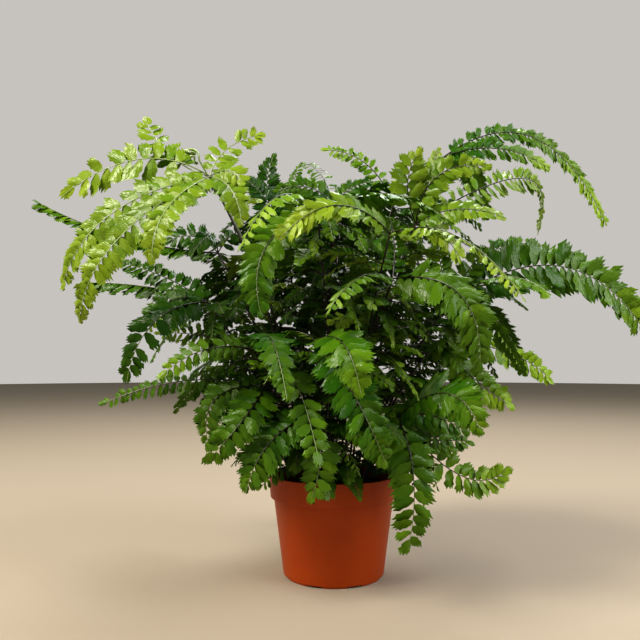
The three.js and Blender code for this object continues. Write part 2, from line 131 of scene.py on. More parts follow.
def mix(low: float, high: float, share: float) -> float:
    """Returns the number that lies a share of the way from low to high."""
    return (1.0 - share) * low + share * high


# ---------------------------------------------------------------- the plant, as it grows

TOWARD_VIEWER: Point = (0, -1, 0.45)
SKYWARD: Point = (0, -0.35, 1)
CROWN_WIDTH = 0.78
TIP_TAPER = 0.72
TAPER_POWER = 2.2


class LeafAge(Enum):
    """How old a frond is, which gives its green. The value is the record's material slot."""

    YOUNG = "leaf_young"
    FRESH = "leaf_fresh"
    MATURE = "leaf_mature"
    DARK = "leaf_dark"


@dataclass(frozen=True)
class RowHabit:
    """How a pinna carries its two rows of leaflets: spacing, slant, size, fold, shrinking and youth."""

    pitch_share: float = 0.5
    pitch_limits: tuple[float, float] = (4.6, 10.5)
    base_angle: float = math.radians(74)
    tip_angle: float = math.radians(42)
    overlap: float = 1.26
    reach: float = 1.0
    taper: float = 0.7
    fold: float = 0.17
    shrinks_at: float = 1.0
    shrunk: float = 0.42
    base_youth: float = 0.1
    tip_youth: float = 0.55


class Habit(Enum):
    """The habits that the fern's pinnae show."""

    FULL = RowHabit()
    BROAD = RowHabit(pitch_share=0.36, overlap=1.7, reach=1.14, taper=0.6, fold=0.0, base_youth=0.2,
                     tip_youth=0.9)
    LOOSE = RowHabit(pitch_share=0.6, overlap=1.12, reach=1.15, taper=0.5, tip_angle=math.radians(50),
                     base_youth=0.25)
    LIME = RowHabit(pitch_share=0.6, overlap=1.15, reach=1.12, taper=0.5, base_youth=0.55, tip_youth=1.2)
    FEATHERY = RowHabit(pitch_share=0.34, pitch_limits=(4.6, 7.0), base_angle=math.radians(66), overlap=1.4,
                        base_youth=0.65, tip_youth=0.6)
    COMB = RowHabit(pitch_share=0.34, pitch_limits=(4.6, 7.0), base_angle=math.radians(66), overlap=1.4,
                    base_youth=0.3, tip_youth=0.0)
    BOLD = RowHabit(pitch_share=0.66, overlap=1.2, reach=1.25, taper=0.45, base_youth=0.2)
    LACY = RowHabit(pitch_share=0.36, pitch_limits=(4.6, 7.0), base_angle=math.radians(68), overlap=1.3,
                    base_youth=0.0)
    SHARP = RowHabit(base_angle=math.radians(54), tip_angle=math.radians(30), overlap=1.25, reach=1.08,
                     taper=0.5, tip_youth=1.3)
    SLIM = RowHabit(overlap=0.9, reach=0.78, taper=0.5, fold=0.3, tip_angle=math.radians(50), base_youth=0.4,
                    tip_youth=0.7)
    CHAIN = RowHabit(shrinks_at=0.55, overlap=1.15, reach=1.3)
    ROPE = RowHabit(pitch_share=0.42, base_angle=math.radians(48), tip_angle=math.radians(30), overlap=1.7,
                    taper=0.4, fold=0.65, base_youth=0.5, tip_youth=0.8)
    SPARE = RowHabit(fold=0.45, overlap=0.7, reach=0.95, tip_angle=math.radians(50), base_youth=0.5,
                     tip_youth=0.9)


@dataclass(frozen=True)
class PinnaPlan:
    """One arched pinna: it heads for the bend, ends at the tip and turns its upper side to the face."""

    bend: Point
    tip: Point
    half_width: float
    face: Point = TOWARD_VIEWER
    habit: Habit = Habit.FULL
    bare: float = 6.0


@dataclass(frozen=True)
class FrondPlan:
    """One frond: its crown is where the stalk forks. The fan adds pinnae by rule."""

    name: str
    crown: Point
    age: LeafAge
    pinnae: tuple[PinnaPlan, ...] = ()
    fan: int = 0
    # how strongly the ribs are painted pale, as painted sheen on glossy dark ribs
    rib_green_and_painted_sheen: float = 0.0


FAN_HABITS = (Habit.LACY, Habit.SPARE, Habit.LACY, Habit.LOOSE)


def pinna(bend: Point, tip: Point, half_width: float, habit: Habit = Habit.FULL,
          face: Point = TOWARD_VIEWER, bare: float = 6.0) -> PinnaPlan:
    """Returns the plan of a pinna that the viewer sees, with no leaflets over its first, bare length."""
    return PinnaPlan(bend, tip, half_width, face, habit, bare)


YOUNG, FRESH, MATURE, DARK = LeafAge.YOUNG, LeafAge.FRESH, LeafAge.MATURE, LeafAge.DARK
FRONDS: tuple[FrondPlan, ...] = (
    FrondPlan("upper_left", (-105, -60, 352), YOUNG, (
        pinna((-162, -64, 388), (-230, -60, 335), 16, Habit.BOLD, bare=30),
        pinna((-194, -112, 322), (-215, -97, 255), 17),
        pinna((-180, -145, 289), (-197, -110, 228), 16),
        pinna((-136, -138, 313), (-135, -135, 270), 14),
        pinna((-147, -45, 366), (-168, -30, 413), 12, Habit.BOLD, bare=30),
        pinna((-101, -49, 384), (-60, -50, 391), 12, Habit.LOOSE),
        pinna((-78, -89, 341), (-75, -90, 305), 13),
    # the ribs of this frond are painted pale: painted sheen
    ), rib_green_and_painted_sheen=0.8),
    FrondPlan("left_dark", (-110, -45, 248), DARK, (
        pinna((-151, -26, 277), (-195, -30, 285), 14),
        pinna((-162, 2, 269), (-225, 0, 270), 13, Habit.ROPE, SKYWARD),
        pinna((-152, -106, 242), (-165, -95, 180), 15, Habit.LOOSE),
        pinna((-138, -58, 260), (-165, -60, 225), 14, Habit.LOOSE),
    )),
    FrondPlan("left_middle", (-68, -70, 206), MATURE, (
        pinna((-111, -59, 223), (-150, -60, 220), 14, Habit.SPARE),
        pinna((-102, -105, 217), (-135, -112, 184), 15, Habit.SLIM),
    ), 1),
    FrondPlan("left_low", (-58, -62, 176), MATURE, (
        pinna((-128, -63, 192), (-197, -60, 160), 13, Habit.SLIM),
        pinna((-117, -89, 180), (-100, -88, 124), 12, Habit.LOOSE),
        pinna((-65, -120, 156), (-100, -106, 119), 15, Habit.LOOSE),
    ), 1),
    FrondPlan("front_left_low", (-15, -66, 152), MATURE, (
        pinna((-58, -119, 146), (-70, -112, 95), 20, Habit.LACY),
        pinna((-7, -97, 121), (-20, -92, 86), 14, Habit.LOOSE),
    ), 1),
    FrondPlan("front_centre", (-12, -100, 214), FRESH, (
        pinna((7, -174, 222), (15, -172, 174), 18),
        pinna((17, -163, 168), (35, -142, 122), 19, Habit.LACY),
    )),
    FrondPlan("front_right", (45, -92, 262), MATURE, (
        pinna((105, -149, 266), (105, -130, 190), 21, Habit.FEATHERY),
    ), 2),
    FrondPlan("top_front", (-15, -78, 318), FRESH, (
        pinna((-72, -134, 290), (-56, -126, 230), 17, Habit.COMB),
    ), 3),
    FrondPlan("top_front_right", (42, -100, 296), YOUNG, (
        pinna((0, -144, 332), (-42, -140, 284), 13, Habit.SHARP),
    ), 2),
    FrondPlan("right_big", (108, -18, 252), MATURE, (
        pinna((216, -21, 327), (281, -20, 222), 23, Habit.BROAD),
        pinna((145, 29, 318), (202, 32, 312), 14),
    ), 2),
    FrondPlan("top_right_back", (112, 48, 402), FRESH, (
        pinna((215, 64, 480), (281, 60, 335), 11, Habit.SHARP),
        pinna((166, 39, 421), (216, 42, 388), 11, Habit.SHARP),
    ), 1),
    FrondPlan("right_top", (72, -32, 318), YOUNG, (
        pinna((215, -10, 410), (190, 0, 315), 11, Habit.CHAIN),
        pinna((54, -48, 352), (72, -55, 376), 17),
        pinna((75, -58, 372), (132, -58, 360), 14),
        pinna((100, -62, 334), (142, -66, 316), 13),
    )),
    FrondPlan("top_centre", (58, 18, 348), FRESH, (
        pinna((35, 20, 402), (-10, 22, 400), 13, Habit.SLIM),
    ), 3),
    FrondPlan("top_middle", (0, -8, 338), MATURE, (
        pinna((-18, -22, 364), (-54, -24, 348), 13),
        pinna((-8, 30, 388), (-30, 58, 398), 12, Habit.SLIM),
    ), 2),
    FrondPlan("top_left_back", (-48, 32, 322), DARK, (
        pinna((-76, 42, 360), (-58, 40, 402), 15),
    ), 3),
    FrondPlan("far_left", (-108, 2, 298), DARK, (
        pinna((-195, 8, 302), (-278, 0, 346), 12, Habit.ROPE, SKYWARD),
    ), 2),
    FrondPlan("right_middle", (88, -42, 212), FRESH, (
        pinna((156, -31, 216), (192, -32, 180), 13, Habit.LIME),
        pinna((122, -64, 174), (147, -62, 160), 13, Habit.LIME),
    )),
    FrondPlan("right_low", (52, -66, 150), FRESH, (
        pinna((68, -112, 110), (56, -97, 46), 17, Habit.LOOSE),
        pinna((111, -65, 75), (142, -67, 107), 14, Habit.LIME),
        pinna((88, -130, 198), (108, -123, 142), 20, Habit.LACY),
    )),
    FrondPlan("back_left", (-95, 78, 262), MATURE, (), 4),
    FrondPlan("back_top", (10, 66, 352), FRESH, (), 4),
    FrondPlan("back_right", (120, 78, 262), MATURE, (), 4),
    FrondPlan("back_middle", (20, 70, 282), MATURE, (), 4),
    FrondPlan("back_low_left", (-75, 72, 186), MATURE, (), 4),
    FrondPlan("back_low_right", (78, 74, 180), MATURE, (), 4),
    FrondPlan("back_low", (0, 96, 200), DARK, (), 4),
)
SIDE_PINNAE: dict[LeafAge, int] = {YOUNG: 6, FRESH: 38, MATURE: 50, DARK: 50}
LOW_PINNAE: dict[LeafAge, int] = {YOUNG: 0, FRESH: 8, MATURE: 12, DARK: 12}
ADDED_PINNAE: dict[str, tuple[PinnaPlan, ...]] = {
    "upper_left": (
        pinna((-85, -72, 362), (-75, -80, 340), 11, Habit.LOOSE),
    ),
    "far_left": (
        pinna((-130, 8, 325), (-157, 0, 307), 13, Habit.LOOSE),
        pinna((-108, -15, 330), (-127, -35, 287), 13, Habit.LACY),
        pinna((-88, 10, 335), (-74, 10, 307), 12, Habit.LACY),
    ),
    "top_left_back": (
        pinna((-69, 25, 367), (-85, 20, 371), 12, Habit.LACY),
        pinna((-44, 28, 363), (-32, 28, 388), 10, Habit.SLIM),
    ),
    "top_middle": (
        pinna((10, -12, 358), (35, -15, 360), 12, Habit.COMB),
    ),
    "right_top": (
        pinna((82, -40, 350), (90, -40, 382), 11),
        pinna((95, -45, 314), (110, -45, 282), 12, Habit.SHARP),
    ),
    "right_big": (
        pinna((92, -12, 287), (97, -12, 312), 12, Habit.FEATHERY),
        pinna((118, -30, 282), (134, -30, 295), 11, Habit.LOOSE),
    ),
    "right_low": (
        pinna((77, -80, 161), (107, -85, 138), 15),
        pinna((78, -72, 136), (98, -72, 124), 12, Habit.LOOSE),
        pinna((86, -70, 128), (112, -70, 131), 11, Habit.LOOSE),
    ),
    "front_right": (
        pinna((50, -80, 295), (45, -70, 315), 11, Habit.LACY),
    ),
    "back_middle": (
        pinna((-12, 84, 278), (-30, 90, 212), 19, Habit.BROAD),
        pinna((10, 88, 262), (5, 95, 195), 19, Habit.LACY),
        pinna((34, 88, 264), (38, 95, 198), 19, Habit.BROAD),
        pinna((52, 84, 280), (66, 90, 212), 19, Habit.LACY),
    ),
    "back_top": (
        pinna((-25, 78, 345), (-38, 84, 285), 18, Habit.LACY),
        pinna((0, 80, 335), (-5, 88, 278), 18, Habit.BROAD),
        pinna((28, 80, 338), (30, 88, 280), 18, Habit.LACY),
        pinna((52, 76, 345), (64, 84, 288), 18, Habit.BROAD),
    ),
    "back_right": (
        pinna((98, 85, 262), (92, 92, 205), 18, Habit.LACY),
    ),
}
CROZIER = FrondPlan("fiddlehead", (-118, -38, 372), LeafAge.YOUNG)


@dataclass(frozen=True)
class PotSizes:
    """The nursery pot's real sizes, in millimetres, which the soil and the growth also keep to."""

    rim_radius: float = 60.0
    height: float = 93.0
    collar_z: float = 73.5
    collar_step: float = 1.3
    body_top_radius: float = 56.3
    foot_radius: float = 46.6
    wall: float = 1.3
    floor_z: float = 2.0
    floor_top_z: float = 3.4
    foot_ring_width: float = 2.6
    lip_rounding: float = 0.6
    foot_arches: int = 8
    arch_width: float = 15.0
    arch_height: float = 1.6
    drain_holes: int = 5
    drain_radius: float = 4.0
    drain_circle: float = 28.0

    @property
    def inner_foot_radius(self) -> float:
        """The inside radius at the floor."""
        return self.foot_radius - self.wall

    @property
    def inner_top_radius(self) -> float:
        """The inside radius just under the collar."""
        return self.body_top_radius - self.wall

    def inner_radius(self, z: float) -> float:
        """Returns the inside radius at height z, below the collar."""
        share = (z - self.floor_top_z) / (self.collar_z - self.floor_top_z)
        return mix(self.inner_foot_radius, self.inner_top_radius, share)


POT = PotSizes()


@dataclass(frozen=True)
class SoilSizes:
    """The root ball's real sizes, in millimetres."""

    z: float = 80.0
    crown: float = 3.0
    gap: float = 0.3
    seat_count: int = 26
    seat_circle: float = 41.0
    seat_lean: float = 1.5
    seat_depth: float = 12.0

    def height(self, radius: float) -> float:
        """Returns how high the soil stands at a radius: it is a little higher in the middle."""
        return self.z + self.crown * (1.0 - (radius / POT.inner_top_radius) ** 2)


SOIL = SoilSizes()


class Arc:
    """A quadratic arc with a frame that keeps one roll to the plane of the arc, turned to a wanted face."""

    FOLD_ANGLE = 0.36

    def __init__(self, start: Point, bend: Point, tip: Point, face: Point) -> None:
        """Args: start, bend, tip: the arc's control points. face: where its upper side should turn."""
        self.start, self.bend, self.tip = start, bend, tip
        self.plane = unit(cross(minus(bend, start), minus(tip, bend)))
        middle = cross(self.plane, self.tangent(0.5))
        self.roll = math.atan2(dot(face, self.plane), dot(face, middle))

    def point(self, t: float) -> Point:
        """Returns the place at share t of the arc."""
        u = 1.0 - t
        return plus(plus(times(self.start, u * u), self.bend, 2 * u * t), self.tip, t * t)

    def tangent(self, t: float) -> Point:
        """Returns the direction of the arc at share t."""
        return unit(plus(times(minus(self.bend, self.start), 1.0 - t), minus(self.tip, self.bend), t))

    def length(self) -> float:
        """Returns the length of the arc, measured over four chords."""
        stops = [self.point(t) for t in (0, 0.25, 0.5, 0.75, 1)]
        return sum(math.dist(near, far) for near, far in zip(stops, stops[1:]))

    def frame(self, t: float) -> tuple[Point, Point, Point]:
        """Returns the tangent, the normal and the side direction at share t."""
        tangent = self.tangent(t)
        upright = times(cross(self.plane, tangent), math.cos(self.roll))
        normal = plus(upright, self.plane, math.sin(self.roll))
        return tangent, normal, cross(tangent, normal)

    def place(self, t: float, width: float) -> Point:
        """Returns a place on the blade: a signed width across the rib, with both halves folded down."""
        _, normal, side = self.frame(t)
        across = plus(self.point(t), side, width * math.cos(self.FOLD_ANGLE))
        return plus(across, normal, -abs(width) * math.sin(self.FOLD_ANGLE))


def width_profile(share: float) -> float:
    """Returns how wide a pinna is along its length, as a share of its widest."""
    return min(1.0, CROWN_WIDTH + share) * (1.0 - TIP_TAPER * share ** TAPER_POWER)


@dataclass
class Blade:
    """One grown pinna. A side pinna has plain leaflets, and a youth of its own in place of its habit's, which
    is darker deep in the plant as painted shade.
    """

    arc: Arc
    half_width: float
    habit: Habit = Habit.FULL
    youth: float | None = None
    is_side: bool = False
    bare: float = 6.0


@dataclass
class Frond:
    """One grown frond: the line of its stalk, and its pinnae."""

    plan: FrondPlan
    line: list[Point]
    blades: list[Blade] = field(default_factory=list)
    side_blades: list[Blade] = field(default_factory=list)

    def fill_out(self) -> None:
        """Adds the frond's outer pinnae, which close the gaps that are left in the plant's outline."""
        for choice in ADDED_PINNAE.get(self.plan.name, ()):
            arc = Arc(self.plan.crown, choice.bend, choice.tip, choice.face)
            self.side_blades.append(Blade(arc, choice.half_width, choice.habit, bare=choice.bare))


class Room:
    """The points already taken, kept in cubes of one clearance a side."""

    def __init__(self, clearance: float) -> None:
        """Args: clearance: how far apart two blades stay."""
        self.clearance = clearance
        self.cubes: dict[tuple[int, int, int], list[tuple[Point, str]]] = {}

    def cell(self, point: Point) -> tuple[int, int, int]:
        """Returns the cube that holds a point."""
        x, y, z = (math.floor(value / self.clearance) for value in point)
        return x, y, z

    def add(self, points: Sequence[Point], owner: str) -> None:
        """Marks points as taken by their owner."""
        for point in points:
            self.cubes.setdefault(self.cell(point), []).append((point, owner))

    def is_clear(self, points: Sequence[Point], owner: str, crown: Point, crown_reach: float) -> bool:
        """Tells whether points keep clear of all that is taken.

        Args:
            points: the samples of a new blade.
            owner: its frond, whose own pinnae may meet it round the crown.
            crown: where the frond forks.
            crown_reach: how far from the crown they may meet.

        Returns:
            True if nothing is in the way.
        """
        for point in points:
            at_crown = math.dist(point, crown) < crown_reach
            i, j, k = self.cell(point)
            for x in (i - 1, i, i + 1):
                for y in (j - 1, j, j + 1):
                    for z in (k - 1, k, k + 1):
                        for other, other_owner in self.cubes.get((x, y, z), ()):
                            if math.dist(other, point) >= self.clearance:
                                continue
                            near = at_crown or math.dist(other, crown) < crown_reach
                            if not (other_owner == owner and near):
                                return False
        return True


@dataclass
class FernGrowth:
    """The growth rule: it seats each stalk, and finds each pinna its room."""

    clearance: float = 6.2
    sample_step: float = 4.0
    seed: int = 256
    stalk_clearance: float = 5.0
    crown_samples: int = 3
    crown_reach: float = 26.0
    seen_crown_reach: float = 300.0
    depth_tries: tuple[int, ...] = (0, -8, 8, -16, 16, -24, 24, -34, 34)
    fan_tries: int = 16
    pot_margin: float = 12.0
    surface_margin: float = 12.0
    stalk_stations: tuple[float, ...] = (0.25, 0.5, 0.75, 1.0)
    stalk_bend: tuple[float, float, float] = (0.3, 0.3, 0.62)
    fan_spread: float = 3.4
    fan_rise: tuple[float, float] = (0.1, 0.8)
    fan_length: tuple[float, float] = (85, 135)
    fan_droop: tuple[float, float] = (0.35, 0.85)
    fan_half_width: tuple[float, float] = (14, 19)
    bend_reach: float = 0.52
    tip_reach: float = 0.42
    face_up: float = 0.8

    def __post_init__(self) -> None:
        """Starts with an empty pot and the first random number."""
        self.room = Room(self.clearance)
        self.state = self.seed
        self.seats = list(self.seats_on_spiral())
        self.standing: list[Point] = []

    def random(self) -> float:
        """Returns the next number of a linear congruential generator, from 0 to 1."""
        self.state = (self.state * 1664525 + 1013904223) % 4294967296
        return self.state / 4294967296

    def drawn(self, limits: tuple[float, float]) -> float:
        """Returns a random number within limits."""
        return mix(limits[0], limits[1], self.random())

    def seats_on_spiral(self) -> Iterator[tuple[float, float]]:
        """Yields the seats in the soil, on a golden-angle spiral."""
        for index in range(SOIL.seat_count):
            radius = SOIL.seat_circle * math.sqrt((index + 0.5) / SOIL.seat_count)
            angle = index * math.pi * (3 - math.sqrt(5))
            yield radius * math.cos(angle), radius * math.sin(angle)

    def stalk_line(self, seat: tuple[float, float], crown: Point) -> list[Point]:
        """Returns the stalk's line: upright in its seat, then out to the crown on one quadratic arc."""
        x, y = seat
        top = SOIL.height(math.hypot(x, y))
        foot, start = (x, y, top - SOIL.seat_depth + SOIL.gap), (x, y, top + 1)
        bend = tuple(mix(low, high, share) for low, high, share in zip(start, crown, self.stalk_bend))
        arc = [
            plus(plus(times(start, (1 - t) ** 2), bend, 2 * (1 - t) * t), crown, t * t)
            for t in self.stalk_stations
        ]
        return [foot, start, *arc]

    def line_samples(self, line: list[Point]) -> list[Point]:
        """Returns points along a line, a sample step apart or closer."""
        samples = []
        for start, end in zip(line, line[1:]):
            count = math.ceil(math.dist(start, end) / self.sample_step)
            samples += [plus(start, minus(end, start), (step + 1) / count) for step in range(count)]
        return samples

    def take_seat(self, crown: Point) -> tuple[float, float]:
        """Takes the nearest free seat from which the stalk passes the stalks that stand already."""
        reach = math.hypot(crown[0], crown[1])
        lean = min(1.0, (SOIL.seat_lean * reach) / math.hypot(reach, crown[2] - SOIL.z))
        ideal = [crown[axis] / reach * SOIL.seat_circle * lean for axis in (0, 1)]
        for seat in sorted(self.seats, key=lambda seat: math.hypot(seat[0] - ideal[0], seat[1] - ideal[1])):
            samples = self.line_samples(self.stalk_line(seat, crown))
            if all(math.dist(a, b) > self.stalk_clearance for a in samples for b in self.standing):
                self.seats.remove(seat)
                return seat
        raise ValueError(f"no seat is left for a frond with its crown at {crown}")

    def stand(self, plan: FrondPlan) -> Frond:
        """Returns the frond on its stalk, with no pinnae yet."""
        line = self.stalk_line(self.take_seat(plan.crown), plan.crown)
        samples = self.line_samples(line)
        self.standing += samples
        self.room.add(samples, plan.name)
        self.room.add(samples[:-self.crown_samples], f"stalk of {plan.name}")
        return Frond(plan, line)

    def blade_samples(self, arc: Arc, half_width: float) -> list[Point]:
        """Returns points all over one blade."""
        rows = math.ceil(arc.length() / self.sample_step)
        columns = math.ceil(half_width / self.sample_step)
        return [
            arc.place(row / rows, column / columns * half_width * width_profile(row / rows))
            for row in range(2, rows + 1)
            for column in range(-columns, columns + 1)
        ]

    def is_free(self, samples: Sequence[Point]) -> bool:
        """Tells whether a blade keeps out of the pot and off the surface below it."""
        top, side = POT.height + self.pot_margin, POT.rim_radius + self.pot_margin
        return all(z > self.surface_margin and not (z < top and math.hypot(x, y) < side)
                   for x, y, z in samples)

    def try_pinna(self, frond: Frond, choice: PinnaPlan, crown_reach: float) -> bool:
        """Grows one pinna if it finds its room.

        Args:
            frond: the frond that it grows from.
            choice: where the pinna would go.
            crown_reach: how far from the crown the frond's own pinnae may meet it.

        Returns:
            True if it has grown.
        """
        arc = Arc(frond.plan.crown, choice.bend, choice.tip, choice.face)
        samples = self.blade_samples(arc, choice.half_width)
        name = frond.plan.name
        if not self.is_free(samples) or not self.room.is_clear(samples, name, arc.start, crown_reach):
            return False
        self.room.add(samples, name)
        frond.blades.append(Blade(arc, choice.half_width, choice.habit, bare=choice.bare))
        return True

    def grow_seen(self, frond: Frond, wanted: PinnaPlan) -> None:
        """Grows a pinna that the viewer sees: it moves only in depth to find its room."""
        for shift in self.depth_tries:
            bend, tip = ((x, y + shift, z) for x, y, z in (wanted.bend, wanted.tip))
            if self.try_pinna(frond, replace(wanted, bend=bend, tip=tip), self.seen_crown_reach):
                return

    def fan_pinna(self, crown: Point, habit: Habit) -> PinnaPlan:
        """Draws a pinna that heads outwards from the plant, arches over and hangs."""
        heading = math.atan2(crown[1], crown[0]) + (self.random() - 0.5) * self.fan_spread
        rise, length = self.drawn(self.fan_rise), self.drawn(self.fan_length)
        droop, half_width = self.drawn(self.fan_droop) * length, self.drawn(self.fan_half_width)
        x, y = math.cos(heading), math.sin(heading)
        reach, onward = self.bend_reach * length, self.tip_reach * length
        bend = (crown[0] + reach * x, crown[1] + reach * y, crown[2] + reach * rise)
        tip = (bend[0] + onward * x, bend[1] + onward * y, bend[2] - droop)
        return PinnaPlan(bend, tip, half_width, (x, y, self.face_up), habit)

    def grow(self) -> tuple[list[Frond], Frond]:
        """Returns the grown fronds, and the young frond that is still coiled."""
        fronds = [self.stand(plan) for plan in FRONDS]
        crozier = self.stand(CROZIER)
        for frond in fronds:
            for wanted in frond.plan.pinnae:
                self.grow_seen(frond, wanted)
        for frond in fronds:
            for turn in range(frond.plan.fan):
                habit = FAN_HABITS[(turn + len(frond.plan.pinnae)) % len(FAN_HABITS)]
                for _ in range(self.fan_tries):
                    if self.try_pinna(frond, self.fan_pinna(frond.plan.crown, habit), self.crown_reach):
                        break
        return fronds, crozier


@dataclass
class InnerGrowth:
    """Fills the middle of the plant with the smaller side pinnae that the solids leave out.

    They branch from the stalks and crowns, keep inside the plant's mass and keep clear of what has grown. The
    deeper in the mass a pinna's tip lies, the darker its green: painted shade.
    """

    growth: FernGrowth
    seed: int = 77
    clearance: float = 2.9
    tries: int = 22
    heart: Point = (6.0, 0.0, 224.0)
    reach: Point = (146.0, 128.0, 162.0)
    power: float = 2.8
    root_share: tuple[float, float] = (0.1, 1.0)
    spread: float = 4.2
    length: tuple[float, float] = (38, 86)
    half_width: tuple[float, float] = (7.5, 12.5)
    rise: tuple[float, float] = (0.0, 0.8)
    droop: tuple[float, float] = (0.1, 0.85)
    face_up: tuple[float, float] = (0.3, 1.6)
    bend_reach: float = 0.5
    tip_reach: float = 0.45
    crown_reach: float = 14.0
    pot_margin: float = 3.0
    habits: tuple[Habit, ...] = (Habit.FULL, Habit.SPARE, Habit.LOOSE, Habit.FEATHERY, Habit.SHARP)
    # tip youth from deep in the plant's mass to its skin: darker inside, as painted shade
    youth: tuple[float, float] = (0.15, 0.8)

    def outwardness(self, point: Point) -> float:
        """Returns how far out in the mass of the plant, a rounded box, a point lies: 1 on its skin."""
        shares = [abs(value - middle) / reach for value, middle, reach in zip(point, self.heart, self.reach)]
        return sum(share ** self.power for share in shares) ** (1 / self.power)

    def is_inside(self, points: Sequence[Point]) -> bool:
        """Tells whether points lie inside the mass of the plant, and clear of the pot."""
        for point in points:
            if self.outwardness(point) > 1:
                return False
            x, y, z = point
            if z < POT.height + self.pot_margin and math.hypot(x, y) < POT.rim_radius + self.pot_margin:
                return False
        return True

    def plan(self, root: Point, rng: random.Random) -> PinnaPlan:
        """Draws a side pinna that leaves its root, arches over and hangs."""
        heading = math.atan2(root[1], root[0]) + rng.uniform(-0.5, 0.5) * self.spread
        length = rng.uniform(*self.length)
        x, y = math.cos(heading), math.sin(heading)
        reach, onward = self.bend_reach * length, self.tip_reach * length
        bend = (root[0] + reach * x, root[1] + reach * y, root[2] + reach * rng.uniform(*self.rise))
        tip = (bend[0] + onward * x, bend[1] + onward * y, bend[2] - length * rng.uniform(*self.droop))
        half_width, face = rng.uniform(*self.half_width), (x, y, rng.uniform(*self.face_up))
        return PinnaPlan(bend, tip, half_width, face, rng.choice(self.habits))

    def grow(self, fronds: list[Frond], counts: dict[LeafAge, int]) -> None:
        """Adds side pinnae to the fronds.

        Args:
            fronds: the fronds. Each gets its new pinnae in its list of side blades.
            counts: how many pinnae to try on a frond of each age.
        """
        rng = random.Random(self.seed)
        room = Room(self.clearance)
        for frond in fronds:
            room.add(self.growth.line_samples(frond.line), frond.plan.name)
            for blade in frond.blades + frond.side_blades:
                room.add(self.growth.blade_samples(blade.arc, blade.half_width), frond.plan.name)
        for turn in range(max(counts.values())):
            for frond in fronds:
                if turn < counts[frond.plan.age]:
                    self.add_one(frond, room, rng)

    def add_one(self, frond: Frond, room: Room, rng: random.Random) -> None:
        """Adds one side pinna to a frond, if one of a few tries finds room."""
        line = smooth_line(frond.line[1:])
        for _ in range(self.tries):
            root = line[round(rng.uniform(*self.root_share) * (len(line) - 1))]
            plan = self.plan(root, rng)
            arc = Arc(root, plan.bend, plan.tip, plan.face)
            samples = self.growth.blade_samples(arc, plan.half_width)
            if not self.is_inside(samples):
                continue
            if room.is_clear(samples, frond.plan.name, root, self.crown_reach):
                room.add(samples, frond.plan.name)
                # painted shade: the deeper the tip lies in the plant's mass, the darker the pinna's green
                youth = mix(*self.youth, self.outwardness(plan.tip) ** 2)
                frond.side_blades.append(Blade(arc, plan.half_width, plan.habit, youth, is_side=True))
                return


# ---------------------------------------------------------------- nodes

def add_node(tree: Tree, kind: str, settings: dict | None = None,
             links: dict | None = None) -> bpy.types.Node:
    """Adds one node to a tree.

    Args:
        tree: a shader or geometry tree.
        kind: the node's type name.
        settings: the node's own properties, by name.
        links: for each input, by name or index, a socket to link from or a value to set.

    Returns:
        The new node.
    """
    node = tree.nodes.new(kind)
    for name, value in (settings or {}).items():
        setattr(node, name, value)
    for key, value in (links or {}).items():
        if isinstance(value, bpy.types.NodeSocket):
            tree.links.new(value, node.inputs[key])
        else:
            node.inputs[key].default_value = value
    return node


def linear(colour: str) -> tuple[float, float, float, float]:
    """Turns an sRGB hex colour into the linear colour that shaders take."""
    channels = [int(colour[start:start + 2], 16) / 255 for start in (1, 3, 5)]
    red, green, blue = [c / 12.92 if c <= 0.04045 else ((c + 0.055) / 1.055) ** 2.4 for c in channels]
    return red, green, blue, 1.0


# ---------------------------------------------------------------- finishes

MIX_COLOURS = {"data_type": "RGBA", "blend_type": "MIX"}
TINT_COLOURS = {"data_type": "RGBA", "blend_type": "MULTIPLY"}
SCALE_AND_SHIFT = {"operation": "MULTIPLY_ADD"}


class Finish:
    """A surface: a material is built from the shader that its paint method returns."""

    name: str

    def paint(self, tree: Tree) -> Socket:
        """Adds the nodes of the surface to a tree and returns its shader."""
        raise NotImplementedError

    def build(self) -> bpy.types.Material:
        """Returns the material."""
        material = bpy.data.materials.new(self.name)
        material.use_nodes = True
        material.node_tree.nodes.clear()
        output = add_node(material.node_tree, "ShaderNodeOutputMaterial")
        material.node_tree.links.new(self.paint(material.node_tree), output.inputs["Surface"])
        return material


